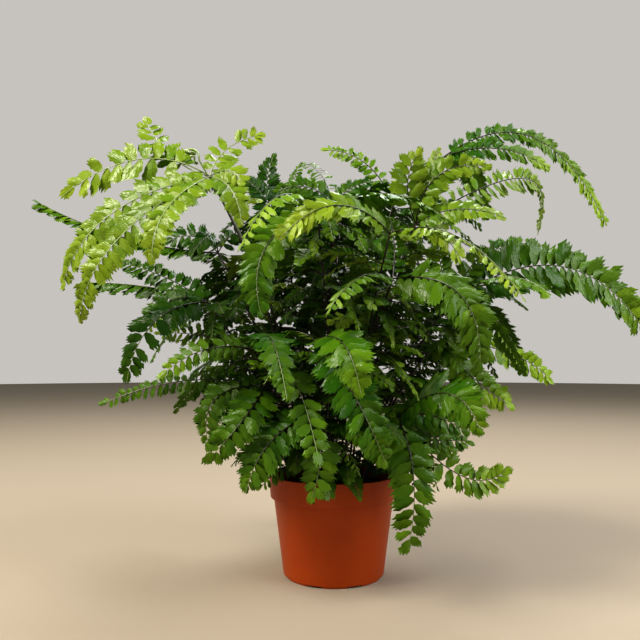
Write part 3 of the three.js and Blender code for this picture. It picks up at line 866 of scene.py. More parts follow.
@dataclass(frozen=True)
class LeafFinish(Finish):
    """Fern leaf: a thin, waxy blade that lets light through, with fine veins that fan out from its base.

    The eye sees a satin green that is paler towards the tip of each pinna, where it ends in lime, darker
    between the veins, greyer and duller below, and glowing yellow-green where light comes through.
    """

    name: str
    old: str
    young: str
    below: str
    glow: str
    lime: str = "#a2c432"
    shine: float = 0.28
    lime_from: float = 0.7
    lime_to: float = 1.2
    roughness: float = 0.3
    see_through: float = 0.28
    ior: float = 1.42
    vein_count: float = 26.0
    vein_root: float = 0.12
    vein_shade: tuple[float, float] = (0.16, 0.88)
    vein_height_mm: float = 0.1
    vein_relief: float = 0.6
    buckle_mm: float = 6.0
    buckle_height_mm: float = 1.1
    buckle_relief: float = 0.8
    mottle_mm: float = 14.0
    mottle_swing: float = 0.5
    below_share: float = 0.6
    below_dulling: float = 0.25

    def paint(self, tree: Tree) -> Socket:
        """Adds the nodes of the surface to a tree and returns its shader."""
        place = add_node(tree, "ShaderNodeAttribute", {"attribute_name": "leaf_place"})
        split = add_node(tree, "ShaderNodeSeparateXYZ", links={0: place.outputs["Vector"]})
        along, across, under = split.outputs
        tone = add_node(tree, "ShaderNodeAttribute", {"attribute_name": "tone"}).outputs["Fac"]
        spot = add_node(tree, "ShaderNodeTexCoord").outputs["Object"]
        mottle = add_node(tree, "ShaderNodeTexNoise", links={
            "Vector": spot, "Scale": 1 / (self.mottle_mm * MM), "Detail": 3.0}).outputs[0]
        root = add_node(tree, "ShaderNodeMath", {"operation": "ADD"}, {0: along, 1: self.vein_root})
        angle = add_node(tree, "ShaderNodeMath", {"operation": "ARCTAN2"}, {0: across, 1: root.outputs[0]})
        turn = add_node(tree, "ShaderNodeMath", {"operation": "MULTIPLY"},
                        {0: angle.outputs[0], 1: self.vein_count})
        wave = add_node(tree, "ShaderNodeMath", {"operation": "SINE"}, {0: turn.outputs[0]})
        vein = add_node(tree, "ShaderNodeMath", SCALE_AND_SHIFT,
                        {0: wave.outputs[0], 1: 0.5, 2: 0.5}).outputs[0]
        swing = add_node(tree, "ShaderNodeMath", SCALE_AND_SHIFT,
                         {0: mottle, 1: self.mottle_swing, 2: -self.mottle_swing / 2})
        age = add_node(tree, "ShaderNodeMath", {"operation": "ADD"},
                       {0: tone, 1: swing.outputs[0]}).outputs[0]
        newest = add_node(tree, "ShaderNodeMapRange",
                          links={0: age, 1: self.lime_from, 2: self.lime_to}).outputs[0]
        green = add_node(tree, "ShaderNodeMix", MIX_COLOURS,
                         {0: age, 6: linear(self.old), 7: linear(self.young)}).outputs[2]
        top = add_node(tree, "ShaderNodeMix", MIX_COLOURS, {0: newest, 6: green, 7: linear(self.lime)})
        shade = add_node(tree, "ShaderNodeMath", SCALE_AND_SHIFT,
                         {0: vein, 1: self.vein_shade[0], 2: self.vein_shade[1]}).outputs[0]
        grey = add_node(tree, "ShaderNodeCombineColor", links={0: shade, 1: shade, 2: shade})
        veined = add_node(tree, "ShaderNodeMix", TINT_COLOURS,
                          {0: 1.0, 6: top.outputs[2], 7: grey.outputs[0]})
        pale = add_node(tree, "ShaderNodeMath", {"operation": "MULTIPLY"}, {0: under, 1: self.below_share})
        both = add_node(tree, "ShaderNodeMix", MIX_COLOURS,
                        {0: pale.outputs[0], 6: veined.outputs[2], 7: linear(self.below)})
        buckle = add_node(tree, "ShaderNodeTexNoise", links={
            "Vector": spot, "Scale": 1 / (self.buckle_mm * MM), "Detail": 2.0})
        buckled = add_node(tree, "ShaderNodeBump", links={
            "Strength": self.buckle_relief, "Distance": self.buckle_height_mm * MM,
            "Height": buckle.outputs[0]})
        bump = add_node(tree, "ShaderNodeBump", links={
            "Strength": self.vein_relief, "Distance": self.vein_height_mm * MM, "Height": vein,
            "Normal": buckled.outputs[0]})
        gloss = add_node(tree, "ShaderNodeMath", SCALE_AND_SHIFT,
                         {0: under, 1: self.below_dulling, 2: self.roughness})
        skin = add_node(tree, "ShaderNodeBsdfPrincipled", links={
            "Base Color": both.outputs[2], "Roughness": gloss.outputs[0], "IOR": self.ior,
            "Specular IOR Level": self.shine, "Normal": bump.outputs[0]})
        lit = add_node(tree, "ShaderNodeMix", MIX_COLOURS,
                       {0: age, 6: linear(self.glow), 7: linear(self.young)})
        through = add_node(tree, "ShaderNodeBsdfTranslucent", links={"Color": lit.outputs[2]})
        whole = add_node(tree, "ShaderNodeMixShader", links={
            0: self.see_through, 1: skin.outputs[0], 2: through.outputs[0]})
        return whole.outputs[0]


LEAF_FINISHES: dict[LeafAge, LeafFinish] = {
    YOUNG: LeafFinish("fern_leaf_young", "#587c10", "#9cb22e", "#90a640", "#88ba1e", shine=0.4),
    FRESH: LeafFinish("fern_leaf_fresh", "#2e5c08", "#74981a", "#688c2e", "#66a212"),
    MATURE: LeafFinish("fern_leaf_mature", "#285208", "#668a18", "#587c28", "#588e10"),
    DARK: LeafFinish("fern_leaf_dark", "#1e4806", "#547c12", "#4a6c1e", "#4a820e"),
}


@dataclass(frozen=True)
class WireFinish(Finish):
    """Fern stalk: a hard, smooth wire, near-black and lacquer-bright, that greens towards young tips. The
    same pale green stands for painted sheen along the ribs of some fronds.
    """

    name: str = "fern_stalk_lacquer_black"
    old: str = "#140c09"
    brown: str = "#26160f"
    # the green of young tips, also used for painted sheen on ribs
    green: str = "#93a866"
    roughness: float = 0.28
    ior: float = 1.5
    streak_mm: float = 6.0
    streak_height_mm: float = 0.2
    streak_relief: float = 0.3

    def paint(self, tree: Tree) -> Socket:
        """Adds the nodes of the surface to a tree and returns its shader."""
        # the pale green of young tips, and painted sheen on some ribs
        youth = add_node(tree, "ShaderNodeAttribute", {"attribute_name": "youth"}).outputs["Fac"]
        spot = add_node(tree, "ShaderNodeTexCoord").outputs["Object"]
        streak = add_node(tree, "ShaderNodeTexNoise", links={
            "Vector": spot, "Scale": 1 / (self.streak_mm * MM), "Detail": 2.0}).outputs[0]
        bark = add_node(tree, "ShaderNodeMix", MIX_COLOURS,
                        {0: streak, 6: linear(self.old), 7: linear(self.brown)})
        colour = add_node(tree, "ShaderNodeMix", MIX_COLOURS,
                          {0: youth, 6: bark.outputs[2], 7: linear(self.green)})
        bump = add_node(tree, "ShaderNodeBump", links={
            "Strength": self.streak_relief, "Distance": self.streak_height_mm * MM, "Height": streak})
        skin = add_node(tree, "ShaderNodeBsdfPrincipled", links={
            "Base Color": colour.outputs[2], "Roughness": self.roughness, "IOR": self.ior,
            "Normal": bump.outputs[0]})
        return skin.outputs[0]


@dataclass(frozen=True)
class PotFinish(Finish):
    """Terracotta-coloured polypropylene, injection moulded: a smooth satin skin with a faint orange peel.

    The eye sees one even brick colour, slightly mottled by the pigment, with a broad soft highlight.
    """

    name: str = "polypropylene_moulded_terracotta"
    colour: str = "#a3440f"
    deep: str = "#903708"
    roughness: float = 0.42
    shine: float = 0.2
    ior: float = 1.49
    gloss_swing: float = 0.14
    mottle_mm: float = 30.0
    peel_mm: float = 1.4  # real orange peel is about half as coarse, and wouldn't show
    peel_height_mm: float = 0.1
    peel_relief: float = 0.12

    def paint(self, tree: Tree) -> Socket:
        """Adds the nodes of the surface to a tree and returns its shader."""
        spot = add_node(tree, "ShaderNodeTexCoord").outputs["Object"]
        cloud = add_node(tree, "ShaderNodeTexNoise", links={
            "Vector": spot, "Scale": 1 / (self.mottle_mm * MM), "Detail": 4.0}).outputs[0]
        peel = add_node(tree, "ShaderNodeTexNoise", links={
            "Vector": spot, "Scale": 1 / (self.peel_mm * MM), "Detail": 2.0})
        colour = add_node(tree, "ShaderNodeMix", MIX_COLOURS,
                          {0: cloud, 6: linear(self.colour), 7: linear(self.deep)})
        gloss = add_node(tree, "ShaderNodeMath", SCALE_AND_SHIFT,
                         {0: cloud, 1: self.gloss_swing, 2: self.roughness - self.gloss_swing / 2})
        bump = add_node(tree, "ShaderNodeBump", links={
            "Strength": self.peel_relief, "Distance": self.peel_height_mm * MM, "Height": peel.outputs[0]})
        skin = add_node(tree, "ShaderNodeBsdfPrincipled", links={
            "Base Color": colour.outputs[2], "Roughness": gloss.outputs[0], "IOR": self.ior,
            "Specular IOR Level": self.shine, "Normal": bump.outputs[0]})
        return skin.outputs[0]


@dataclass(frozen=True)
class SoilFinish(Finish):
    """Damp peat: near-black crumbs with brown fibres, matt all over."""

    name: str = "damp_peat"
    wet: str = "#0d0906"
    dry: str = "#33241a"
    roughness: float = 0.92
    crumb_mm: float = 2.2
    crumb_height_mm: float = 0.8
    crumb_relief: float = 0.8
    crumb_contrast: float = 2.0

    def paint(self, tree: Tree) -> Socket:
        """Adds the nodes of the surface to a tree and returns its shader."""
        spot = add_node(tree, "ShaderNodeTexCoord").outputs["Object"]
        crumb = add_node(tree, "ShaderNodeTexNoise", links={
            "Vector": spot, "Scale": 1 / (self.crumb_mm * MM), "Detail": 5.0}).outputs[0]
        sharp = add_node(tree, "ShaderNodeMath", {"operation": "POWER"}, {0: crumb, 1: self.crumb_contrast})
        colour = add_node(tree, "ShaderNodeMix", MIX_COLOURS,
                          {0: sharp.outputs[0], 6: linear(self.wet), 7: linear(self.dry)})
        bump = add_node(tree, "ShaderNodeBump", links={
            "Strength": self.crumb_relief, "Distance": self.crumb_height_mm * MM, "Height": crumb})
        skin = add_node(tree, "ShaderNodeBsdfPrincipled", links={
            "Base Color": colour.outputs[2], "Roughness": self.roughness, "Normal": bump.outputs[0]})
        return skin.outputs[0]


@dataclass(frozen=True)
class PaperFinish(Finish):
    """Studio paper: an even, matt, pale warm grey."""

    name: str = "paper_floor"
    colour: str = "#948977"
    roughness: float = 0.9

    def paint(self, tree: Tree) -> Socket:
        """Adds the nodes of the surface to a tree and returns its shader."""
        return add_node(tree, "ShaderNodeBsdfPrincipled", links={
            "Base Color": linear(self.colour), "Roughness": self.roughness}).outputs[0]


# ---------------------------------------------------------------- meshes and node modifiers

def link(thing: bpy.types.Object) -> bpy.types.Object:
    """Puts an object in the scene and returns it."""
    bpy.context.scene.collection.objects.link(thing)
    return thing


def mesh_object(name: str, points: Sequence, edges: Sequence = (), faces: Sequence = ()) -> bpy.types.Object:
    """Returns a new object in the scene, made from points in metres with edges or faces."""
    mesh = bpy.data.meshes.new(name)
    mesh.from_pydata([tuple(point) for point in points], edges, faces)
    return link(bpy.data.objects.new(name, mesh))


def write_attribute(mesh: bpy.types.Mesh, name: str, kind: str, values: Sequence) -> None:
    """Stores one value a point on a mesh.

    Args:
        mesh: the mesh.
        name: the attribute's name.
        kind: FLOAT, INT, FLOAT_VECTOR or QUATERNION.
        values: one number or tuple for each point.
    """
    attribute = mesh.attributes.new(name, kind, "POINT")
    if kind in ("FLOAT_VECTOR", "QUATERNION"):
        values = [number for value in values for number in value]
    attribute.data.foreach_set("vector" if kind == "FLOAT_VECTOR" else "value", values)


def smooth(mesh: bpy.types.Mesh, angle: float) -> None:
    """Shades a mesh smooth, apart from edges sharper than an angle."""
    build = bmesh.new()
    build.from_mesh(mesh)
    for face in build.faces:
        face.smooth = True
    for edge in build.edges:
        edge.smooth = len(edge.link_faces) == 2 and edge.calc_face_angle(0.0) < angle
    build.to_mesh(mesh)
    build.free()


def new_nodes(name: str, result: str, inputs: dict[str, str]) -> tuple[Tree, bpy.types.NodeOutputs]:
    """Starts a Geometry Nodes tree.

    Args:
        name: the tree's name.
        result: the name of the geometry that it makes.
        inputs: the kind of each input's socket, by the input's name.

    Returns:
        The tree, and the sockets that give its inputs.
    """
    tree = bpy.data.node_groups.new(name, "GeometryNodeTree")
    for label, kind in inputs.items():
        tree.interface.new_socket(label, in_out="INPUT", socket_type=f"NodeSocket{kind}")
    tree.interface.new_socket(result, in_out="OUTPUT", socket_type="NodeSocketGeometry")
    return tree, add_node(tree, "NodeGroupInput").outputs


def end_nodes(tree: Tree, geometry: Socket, finish: Socket) -> Tree:
    """Ends a tree: it makes instances real, gives all a finish and sends it out. Returns the tree."""
    real = add_node(tree, "GeometryNodeRealizeInstances", links={0: geometry})
    painted = add_node(tree, "GeometryNodeSetMaterial",
                       links={"Geometry": real.outputs[0], "Material": finish})
    add_node(tree, "NodeGroupOutput", links={0: painted.outputs[0]})
    return tree


def run_nodes(source: bpy.types.Object, tree: Tree, inputs: dict, name: str) -> bpy.types.Object:
    """Runs a Geometry Nodes tree on an object and keeps the result as a plain mesh.

    Args:
        source: the object that the tree starts from. It is removed.
        tree: the tree.
        inputs: the tree's inputs, by name.
        name: the new piece's name.

    Returns:
        The new piece, at the origin.
    """
    modifier = source.modifiers.new(tree.name, "NODES")
    modifier.node_group = tree
    sockets = {item.name: item.identifier for item in tree.interface.items_tree if item.in_out == "INPUT"}
    for label, value in inputs.items():
        modifier[sockets[label]] = value
    graph = bpy.context.evaluated_depsgraph_get()
    graph.update()
    made = bpy.data.meshes.new_from_object(source.evaluated_get(graph), preserve_all_data_layers=True,
                                           depsgraph=graph)
    made.name = name
    bpy.data.objects.remove(source)
    return link(bpy.data.objects.new(name, made))


def settle(piece: bpy.types.Object, node: str) -> bpy.types.Object:
    """Seats a finished piece in the frame: it rides on the body and stands for its solid, whose part it
    hides.
    """
    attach(piece, BODY)
    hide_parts(node)
    LOG.info("%s: %d faces", piece.name, len(piece.data.polygons))
    return piece


# ---------------------------------------------------------------- leaflets

@dataclass(frozen=True)
class LeafletOutline:
    """A leaflet's half-widths, in front of its middle line and behind it, row by row from its base."""

    lobes: int
    rows: tuple[float, ...]
    front: tuple[float, ...]
    back: tuple[float, ...]


FINE_OUTLINE = LeafletOutline(3, (0.0, 0.14, 0.4, 0.57, 0.76), (0.12, 0.36, 0.53, 0.46, 0.58, 0.42),
                              (0.1, 0.27, 0.42, 0.37, 0.49, 0.35))
PLAIN_OUTLINE = LeafletOutline(3, (0.0, 0.2, 0.68), (0.12, 0.4, 0.57, 0.43), (0.1, 0.3, 0.48, 0.36))


@dataclass(frozen=True)
class LeafletShape:
    """One leaflet, a unit long and a unit wide: an oblong blade with a blunt, slanting and lobed end.

    The back edge is straight and the front edge is full. The blade is a thin closed lens, a few dozen faces.
    """

    outline: LeafletOutline
    teeth: float
    roundness: float
    slant: float
    droop: float
    cup: float
    wave: float
    phase: float
    crisp: float
    thickness: float = 0.022
    front_fall: float = 0.6
    back_fall: float = 1.3
    fall_power: float = 2.4
    waves_along: float = 5.0
    waves_across: float = 4.0
    crisp_power: int = 5

    def end(self, column: float, index: int) -> float:
        """Returns how far out the leaflet's end lies in a column: notches and lobes take turns."""
        lobe = self.teeth if index % 2 else -self.teeth
        fall = self.roundness * (self.front_fall if column > 0 else self.back_fall)
        return 1.0 - fall * abs(column) ** self.fall_power + self.slant * column + lobe

    def height(self, x: float, y: float, index: int) -> float:
        """Returns how high the blade lies: it droops outwards, is cupped, waves and crisps at its lobes."""
        wave = self.wave * math.sin(self.waves_along * x + self.waves_across * y + self.phase) * (1 + y)
        crisp = self.crisp * x ** self.crisp_power * (1 if index % 2 else -1)
        return -self.droop * x * x - self.cup * (2 * y) ** 2 + wave * x + crisp

    def grid(self) -> list[list[tuple[float, float]]]:
        """Returns the outline's places, row by row, from the base to the lobed end."""
        outline = self.outline
        last = 2 * outline.lobes
        rows = []
        for row, (front, back) in enumerate(zip(outline.front, outline.back)):
            line = []
            for index in range(last + 1):
                column = 2 * index / last - 1
                x = outline.rows[row] if row < len(outline.rows) else self.end(column, index)
                line.append((x, (front if column > 0 else back) * column))
            rows.append(line)
        return rows

    def mesh(self, name: str, mirrored: bool) -> bpy.types.Mesh:
        """Returns the leaflet's mesh.

        Args:
            name: the mesh's name.
            mirrored: True for the other side of the rib.

        Returns:
            A closed mesh with the attribute leaf_place: along, across, and 1 on the underside.
        """
        hand = -1.0 if mirrored else 1.0
        grid = self.grid()
        count = len(grid[0])
        points, places, upper, lower = [], [], {}, {}
        last = len(grid) - 1
        for row, line in enumerate(grid):
            for index, (x, y) in enumerate(line):
                z = self.height(x, y, index)
                rim = row in (0, last) or index in (0, count - 1)
                upper[row, index] = len(points)
                points.append((x, hand * y, z))
                places.append((x, y))
                if rim:
                    lower[row, index] = upper[row, index]
                    continue
                lower[row, index] = len(points)
                points.append((x, hand * y, z - self.thickness))
                places.append((x, y))
        faces, unders = [], []
        for row in range(last):
            for index in range(count - 1):
                corners = [(row, index), (row + 1, index), (row + 1, index + 1), (row, index + 1)]
                for side, under in ((upper, 0.0), (lower, 1.0)):
                    ring = [side[corner] for corner in corners]
                    flip = (under == 1.0) != mirrored
                    faces.append(ring[::-1] if flip else ring)
                    unders.append(under)
        mesh = bpy.data.meshes.new(name)
        mesh.from_pydata(points, [], faces)
        attribute = mesh.attributes.new("leaf_place", "FLOAT_VECTOR", "CORNER")
        flat = [number for face, under in zip(mesh.polygons, unders) for vertex in face.vertices
                for number in (*places[vertex], under)]
        attribute.data.foreach_set("vector", flat)
        smooth(mesh, math.radians(75))
        return mesh


LEAFLET_RANGES: dict[str, tuple[float, float]] = {
    "teeth": (0.07, 0.125), "roundness": (0.04, 0.15), "slant": (0.0, 0.12), "droop": (-0.06, 0.3),
    "cup": (0.0, 0.12), "wave": (0.03, 0.12), "phase": (0, 6.28), "crisp": (0.0, 0.06),
}


@dataclass
class LeafletKit:
    """The leaflet shapes that every frond shares, in a collection that its node tree picks from."""

    variants: int = 8
    seed: int = 11

    def build(self) -> None:
        """Makes the shapes, fine and plain, left and right, and the tree that sets them out."""
        rng = random.Random(self.seed)
        self.shapes = bpy.data.collections.new("leaflet shapes")
        for detail, outline in enumerate((FINE_OUTLINE, PLAIN_OUTLINE)):
            for index in range(self.variants):
                drawn = {name: rng.uniform(*limits) for name, limits in LEAFLET_RANGES.items()}
                shape = LeafletShape(outline, **drawn)
                for side, mirrored in enumerate((False, True)):
                    name = f"leaflet {detail} {side} {index:02d}"
                    self.shapes.objects.link(bpy.data.objects.new(name, shape.mesh(name, mirrored)))
        self.tree = self.set_out()

    def pick(self, rng: random.Random, is_plain: bool, is_mirrored: bool) -> int:
        return (2 * is_plain + is_mirrored) * self.variants + rng.randrange(self.variants)

    def set_out(self) -> Tree:
        """Returns the tree that puts a leaflet on each station, turned and sized as its attributes say."""
        tree, given = new_nodes("leaflets on stations", "Leaflets", {
            "Stations": "Geometry", "Shapes": "Collection", "Finish": "Material", "Sway": "Float",
            "Seed": "Int"})
        turn, size, shape = (
            add_node(tree, "GeometryNodeInputNamedAttribute", {"data_type": kind}, {"Name": name}).outputs[0]
            for name, kind in (("turn", "QUATERNION"), ("size", "FLOAT_VECTOR"), ("shape", "INT")))
        draw = add_node(tree, "FunctionNodeRandomValue", {"data_type": "FLOAT_VECTOR"},
                        {0: (-1, -1, -1), 1: (1, 1, 1), "Seed": given["Seed"]})
        sway = add_node(tree, "ShaderNodeVectorMath", {"operation": "SCALE"},
                        {0: draw.outputs[0], "Scale": given["Sway"]})
        tilt = add_node(tree, "FunctionNodeEulerToRotation", links={0: sway.outputs[0]})
        turned = add_node(tree, "FunctionNodeRotateRotation", {"rotation_space": "LOCAL"},
                          {0: turn, 1: tilt.outputs[0]})
        shapes = add_node(tree, "GeometryNodeCollectionInfo", links={
            "Collection": given["Shapes"], "Separate Children": True, "Reset Children": True})
        placed = add_node(tree, "GeometryNodeInstanceOnPoints", links={
            "Points": given["Stations"], "Instance": shapes.outputs[0], "Pick Instance": True,
            "Instance Index": shape, "Rotation": turned.outputs[0], "Scale": size})
        return end_nodes(tree, placed.outputs[0], given["Finish"])


@dataclass
class Station:
    """Where one leaflet grows, in millimetres."""

    place: Point
    turn: Quaternion
    size: Point
    shape: int
    tone: float


@dataclass
class LeafletRows:
    """Sets two rows of alternate leaflets out along one pinna."""

    kit: LeafletKit
    rng: random.Random
    blade: Blade
    shingle: float = math.radians(19)
    fold_spread: float = 0.22
    twist: float = 0.3
    side_twist: float = 0.9
    rib_offset: float = 0.3
    lost: float = 0.03
    tip_leaflet: float = 1.9
    tip_room: float = 1.5
    tip_width: float = 1.2
    tip_angle: float = math.radians(4)
    first_size: float = 0.8
    taper_power: int = 3
    shrinking: float = 0.12
    shrunk_from: float = 1.15
    shrunk_fall: float = 0.4
    least_pitch: float = 0.35
    turning_in: float = 1.3
    reach_spread: tuple[float, float] = (0.9, 1.08)
    width_spread: tuple[float, float] = (0.9, 1.1)
    shade_spread: float = 0.15
    tone_spread: float = 0.16

    def __post_init__(self) -> None:
        """Measures the rib, and draws the pinna's own twist and tone."""
        self.length = self.blade.arc.length()
        self.habit: RowHabit = self.blade.habit.value
        limit = self.side_twist if self.blade.is_side else self.twist
        self.turning = self.rng.uniform(-limit, limit)
        self.shade = self.rng.uniform(-self.shade_spread, self.shade_spread)
        self.base_youth, self.tip_youth = self.habit.base_youth, self.habit.tip_youth
        if self.blade.youth is not None:
            self.tip_youth = self.blade.youth
        low, high = self.habit.pitch_limits
        self.widest = min(high, max(low, self.habit.pitch_share * self.blade.half_width))
        self.leafy_end = self.length - self.tip_room * self.pitch(1.0)

    def profile(self, share: float) -> float:
        """Returns the leaflets' size at a share of the leafy stretch: a little fuller than the solid's."""
        habit = self.habit
        fall = min(1.0, max(0.0, (share - habit.shrinks_at) / self.shrinking))
        full = min(1.0, self.first_size + share) * (1 - habit.taper * share ** self.taper_power)
        return mix(full, habit.shrunk * (self.shrunk_from - self.shrunk_fall * share), fall)

    def pitch(self, share: float) -> float:
        """Returns the distance between two leaflets on one side, at a share of the leafy stretch."""
        return self.widest * (self.least_pitch + (1 - self.least_pitch) * self.profile(share))

    def along(self) -> Iterator[tuple[float, float, int]]:
        """Yields each leaflet's distance along the rib, its share of the leafy stretch, and its side."""
        bare = self.blade.bare
        distance, side = bare, 1
        while distance < self.leafy_end:
            share = (distance - bare) / (self.leafy_end - bare)
            yield distance, share, side
            distance += self.pitch(share) / 2
            side = -side

    def stations(self) -> Iterator[Station]:
        """Yields the stations of one pinna, with a last leaflet at its tip."""
        for distance, share, side in self.along():
            angle = mix(self.habit.base_angle, self.habit.tip_angle, share ** self.turning_in)
            reach = self.habit.reach * self.blade.half_width * self.profile(share) / math.sin(angle) ** 0.5
            if self.rng.random() > self.lost:
                length = reach * self.rng.uniform(*self.reach_spread)
                yield self.station(distance / self.length, side, angle, length, self.pitch(share), share)
        pitch = self.pitch(1.0)
        yield self.station(self.leafy_end / self.length, 1, self.tip_angle, self.tip_leaflet * pitch,
                           self.tip_width * pitch, 1.0)

    def station(self, t: float, side: int, angle: float, length: float, pitch: float,
                share: float) -> Station:
        """Returns one station.

        Args:
            t: the share along the rib.
            side: 1 or -1.
            angle: between the rib and the leaflet.
            length: the leaflet's length.
            pitch: the distance to the next leaflet on this side.
            share: how far along the leafy stretch, for the twist and the tone.

        Returns:
            The station.
        """
        tangent, level, edge = self.blade.arc.frame(t)
        roll = self.turning * share
        normal = plus(times(level, math.cos(roll)), edge, math.sin(roll))
        across = plus(times(edge, math.cos(roll)), level, -math.sin(roll))
        fold = self.habit.fold + self.rng.uniform(-1, 1) * self.fold_spread
        outward = plus(times(across, side * math.cos(fold)), normal, -math.sin(fold))
        upward = plus(times(normal, math.cos(fold)), across, side * math.sin(fold))
        heading = plus(times(tangent, math.cos(angle)), outward, math.sin(angle))
        forward = cross(upward, heading) if side < 0 else cross(heading, upward)
        raised = unit(plus(times(upward, math.cos(self.shingle)), forward, -math.sin(self.shingle)))
        sideways = cross(raised, heading)
        turn = Matrix((heading, sideways, raised)).transposed().to_quaternion()
        width = self.habit.overlap * pitch * self.rng.uniform(*self.width_spread)
        thick = 0.5 * (length + width)
        place = plus(self.blade.arc.point(t), heading, self.rib_offset)
        shape = self.kit.pick(self.rng, self.blade.is_side, side > 0)
        change = self.rng.uniform(-self.tone_spread, self.tone_spread)
        tone = mix(self.base_youth, self.tip_youth, share ** 2) + self.shade + change
        return Station(place, turn, (length, width, thick), shape, min(1.0, max(0.0, tone)))


# ---------------------------------------------------------------- stalks and ribs

def wire_tree() -> Tree:
    """Returns the tree that turns lines with a thickness into closed round wires."""
    tree, given = new_nodes("wires along lines", "Wires", {
        "Lines": "Geometry", "Sides": "Int", "Finish": "Material"})
    thickness = add_node(tree, "GeometryNodeInputNamedAttribute", {"data_type": "FLOAT"},
                         {"Name": "thickness"})
    lines = add_node(tree, "GeometryNodeMeshToCurve", links={"Mesh": given["Lines"]})
    ring = add_node(tree, "GeometryNodeCurvePrimitiveCircle",
                    links={"Resolution": given["Sides"], "Radius": 1.0})
    tubes = add_node(tree, "GeometryNodeCurveToMesh", links={
        "Curve": lines.outputs[0], "Profile Curve": ring.outputs[0], "Scale": thickness.outputs[0],
        "Fill Caps": True})
    return end_nodes(tree, tubes.outputs[0], given["Finish"])


@dataclass
class WireLines:
    """Gathers lines with a thickness, in millimetres, and makes one mesh of wires from them."""

    sides: int = 8
    points: list[Point] = field(default_factory=list)
    edges: list[tuple[int, int]] = field(default_factory=list)
    thickness: list[float] = field(default_factory=list)
    youth: list[float] = field(default_factory=list)

    def add(self, line: Sequence[Point], radius: Callable[[float], float],
            youth: Callable[[float], float]) -> None:
        """Adds one line.

        Args:
            line: its points.
            radius: the wire's radius at a share of the line.
            youth: how much pale green it takes there, from 0 to 1: the green of young tips, and painted sheen
                on some ribs.
        """
        start = len(self.points)
        last = len(line) - 1
        for index, point in enumerate(line):
            self.points.append(point)
            self.thickness.append(radius(index / last))
            self.youth.append(youth(index / last))
        self.edges += [(start + index, start + index + 1) for index in range(last)]

    def build(self, name: str, tree: Tree, finish: bpy.types.Material) -> bpy.types.Object:
        """Returns the wires as one plain mesh."""
        source = mesh_object(name + " lines", [times(point, MM) for point in self.points], self.edges)
        write_attribute(source.data, "thickness", "FLOAT", [radius * MM for radius in self.thickness])
        write_attribute(source.data, "youth", "FLOAT", self.youth)
        wires = run_nodes(source, tree, {"Sides": self.sides, "Finish": finish}, name)
        smooth(wires.data, math.radians(60))
        return wires


def smooth_line(line: Sequence[Point], steps: int = 6) -> list[Point]:
    """Returns a Catmull-Rom curve through the points of a line, with a few steps on each stretch."""
    ends = [plus(line[0], minus(line[0], line[1])), *line, plus(line[-1], minus(line[-1], line[-2]))]
    curve = []
    for a, b, c, d in zip(ends, ends[1:], ends[2:], ends[3:]):
        for step in range(steps):
            t = step / steps
            weights = (
                -0.5 * t + t * t - 0.5 * t ** 3, 1 - 2.5 * t * t + 1.5 * t ** 3,
                0.5 * t + 2 * t * t - 1.5 * t ** 3, -0.5 * t * t + 0.5 * t ** 3)
            place = (0.0, 0.0, 0.0)
            for point, weight in zip((a, b, c, d), weights):
                place = plus(place, point, weight)
            curve.append(place)
    return [*curve, line[-1]]


# ---------------------------------------------------------------- the fronds

@dataclass
class FrondDressing:
    """Dresses one frond: fine leaflets in place of its blades, and a wiry stalk with ribs."""

    frond: Frond
    kit: LeafletKit
    wires: Tree
    wire_finish: bpy.types.Material
    leaf_finishes: dict[LeafAge, bpy.types.Material]
    seed: int
    sway: float = math.radians(9)
    stalk_radius: float = 1.15
    crown_radius: float = 0.85
    rib_radius: float = 0.6
    tip_radius: float = 0.22
    rib_step: float = 4.0
    youth_of_tip: float = 0.7
    # how the painted sheen along a rib grows from its base
    sheen_from: float = 0.4
    sheen_rise: float = 3.0

    def leaflets(self) -> bpy.types.Object:
        """Returns the piece with all the frond's leaflets."""
        name = f"leaflets_{self.frond.plan.name}"
        rng = random.Random(self.seed)
        stations = [station for blade in self.frond.blades + self.frond.side_blades
                    for station in LeafletRows(self.kit, rng, blade).stations()]
        source = mesh_object(name + " stations", [times(station.place, MM) for station in stations])
        sizes = [times(station.size, MM) for station in stations]
        write_attribute(source.data, "turn", "QUATERNION", [tuple(station.turn) for station in stations])
        write_attribute(source.data, "size", "FLOAT_VECTOR", sizes)
        write_attribute(source.data, "shape", "INT", [station.shape for station in stations])
        write_attribute(source.data, "tone", "FLOAT", [station.tone for station in stations])
        age = self.frond.plan.age
        piece = run_nodes(source, self.kit.tree, {
            "Shapes": self.kit.shapes, "Finish": self.leaf_finishes[age], "Sway": self.sway,
            "Seed": self.seed}, name)
        return settle(piece, f"blade_{self.frond.plan.name}")

    def rib_green_and_painted_sheen(self, share: float) -> float:
        """Returns how much pale green a rib takes at a share of its length: green towards its young tip, and
        painted sheen along the ribs of some fronds.
        """
        # painted sheen: a pale rib, where the frond's plan asks for it
        young = self.frond.plan.rib_green_and_painted_sheen * min(1.0, self.sheen_from + self.sheen_rise * share)
        return max(young, self.youth_of_tip * share ** 3)

    def stalk(self) -> bpy.types.Object:
        """Returns the piece with the frond's stalk and ribs."""
        lines = WireLines()
        lines.add(smooth_line(self.frond.line), lambda t: mix(self.stalk_radius, self.crown_radius, t),
                  lambda t: 0.0)
        for blade in self.frond.blades + self.frond.side_blades:
            steps = math.ceil(blade.arc.length() / self.rib_step)
            rib = [blade.arc.point(step / steps) for step in range(steps + 1)]
            lines.add(rib, lambda t: mix(self.rib_radius, self.tip_radius, t), self.rib_green_and_painted_sheen)
        piece = lines.build(f"stalk_and_ribs_{self.frond.plan.name}", self.wires, self.wire_finish)
        return settle(piece, f"stalk_{self.frond.plan.name}")


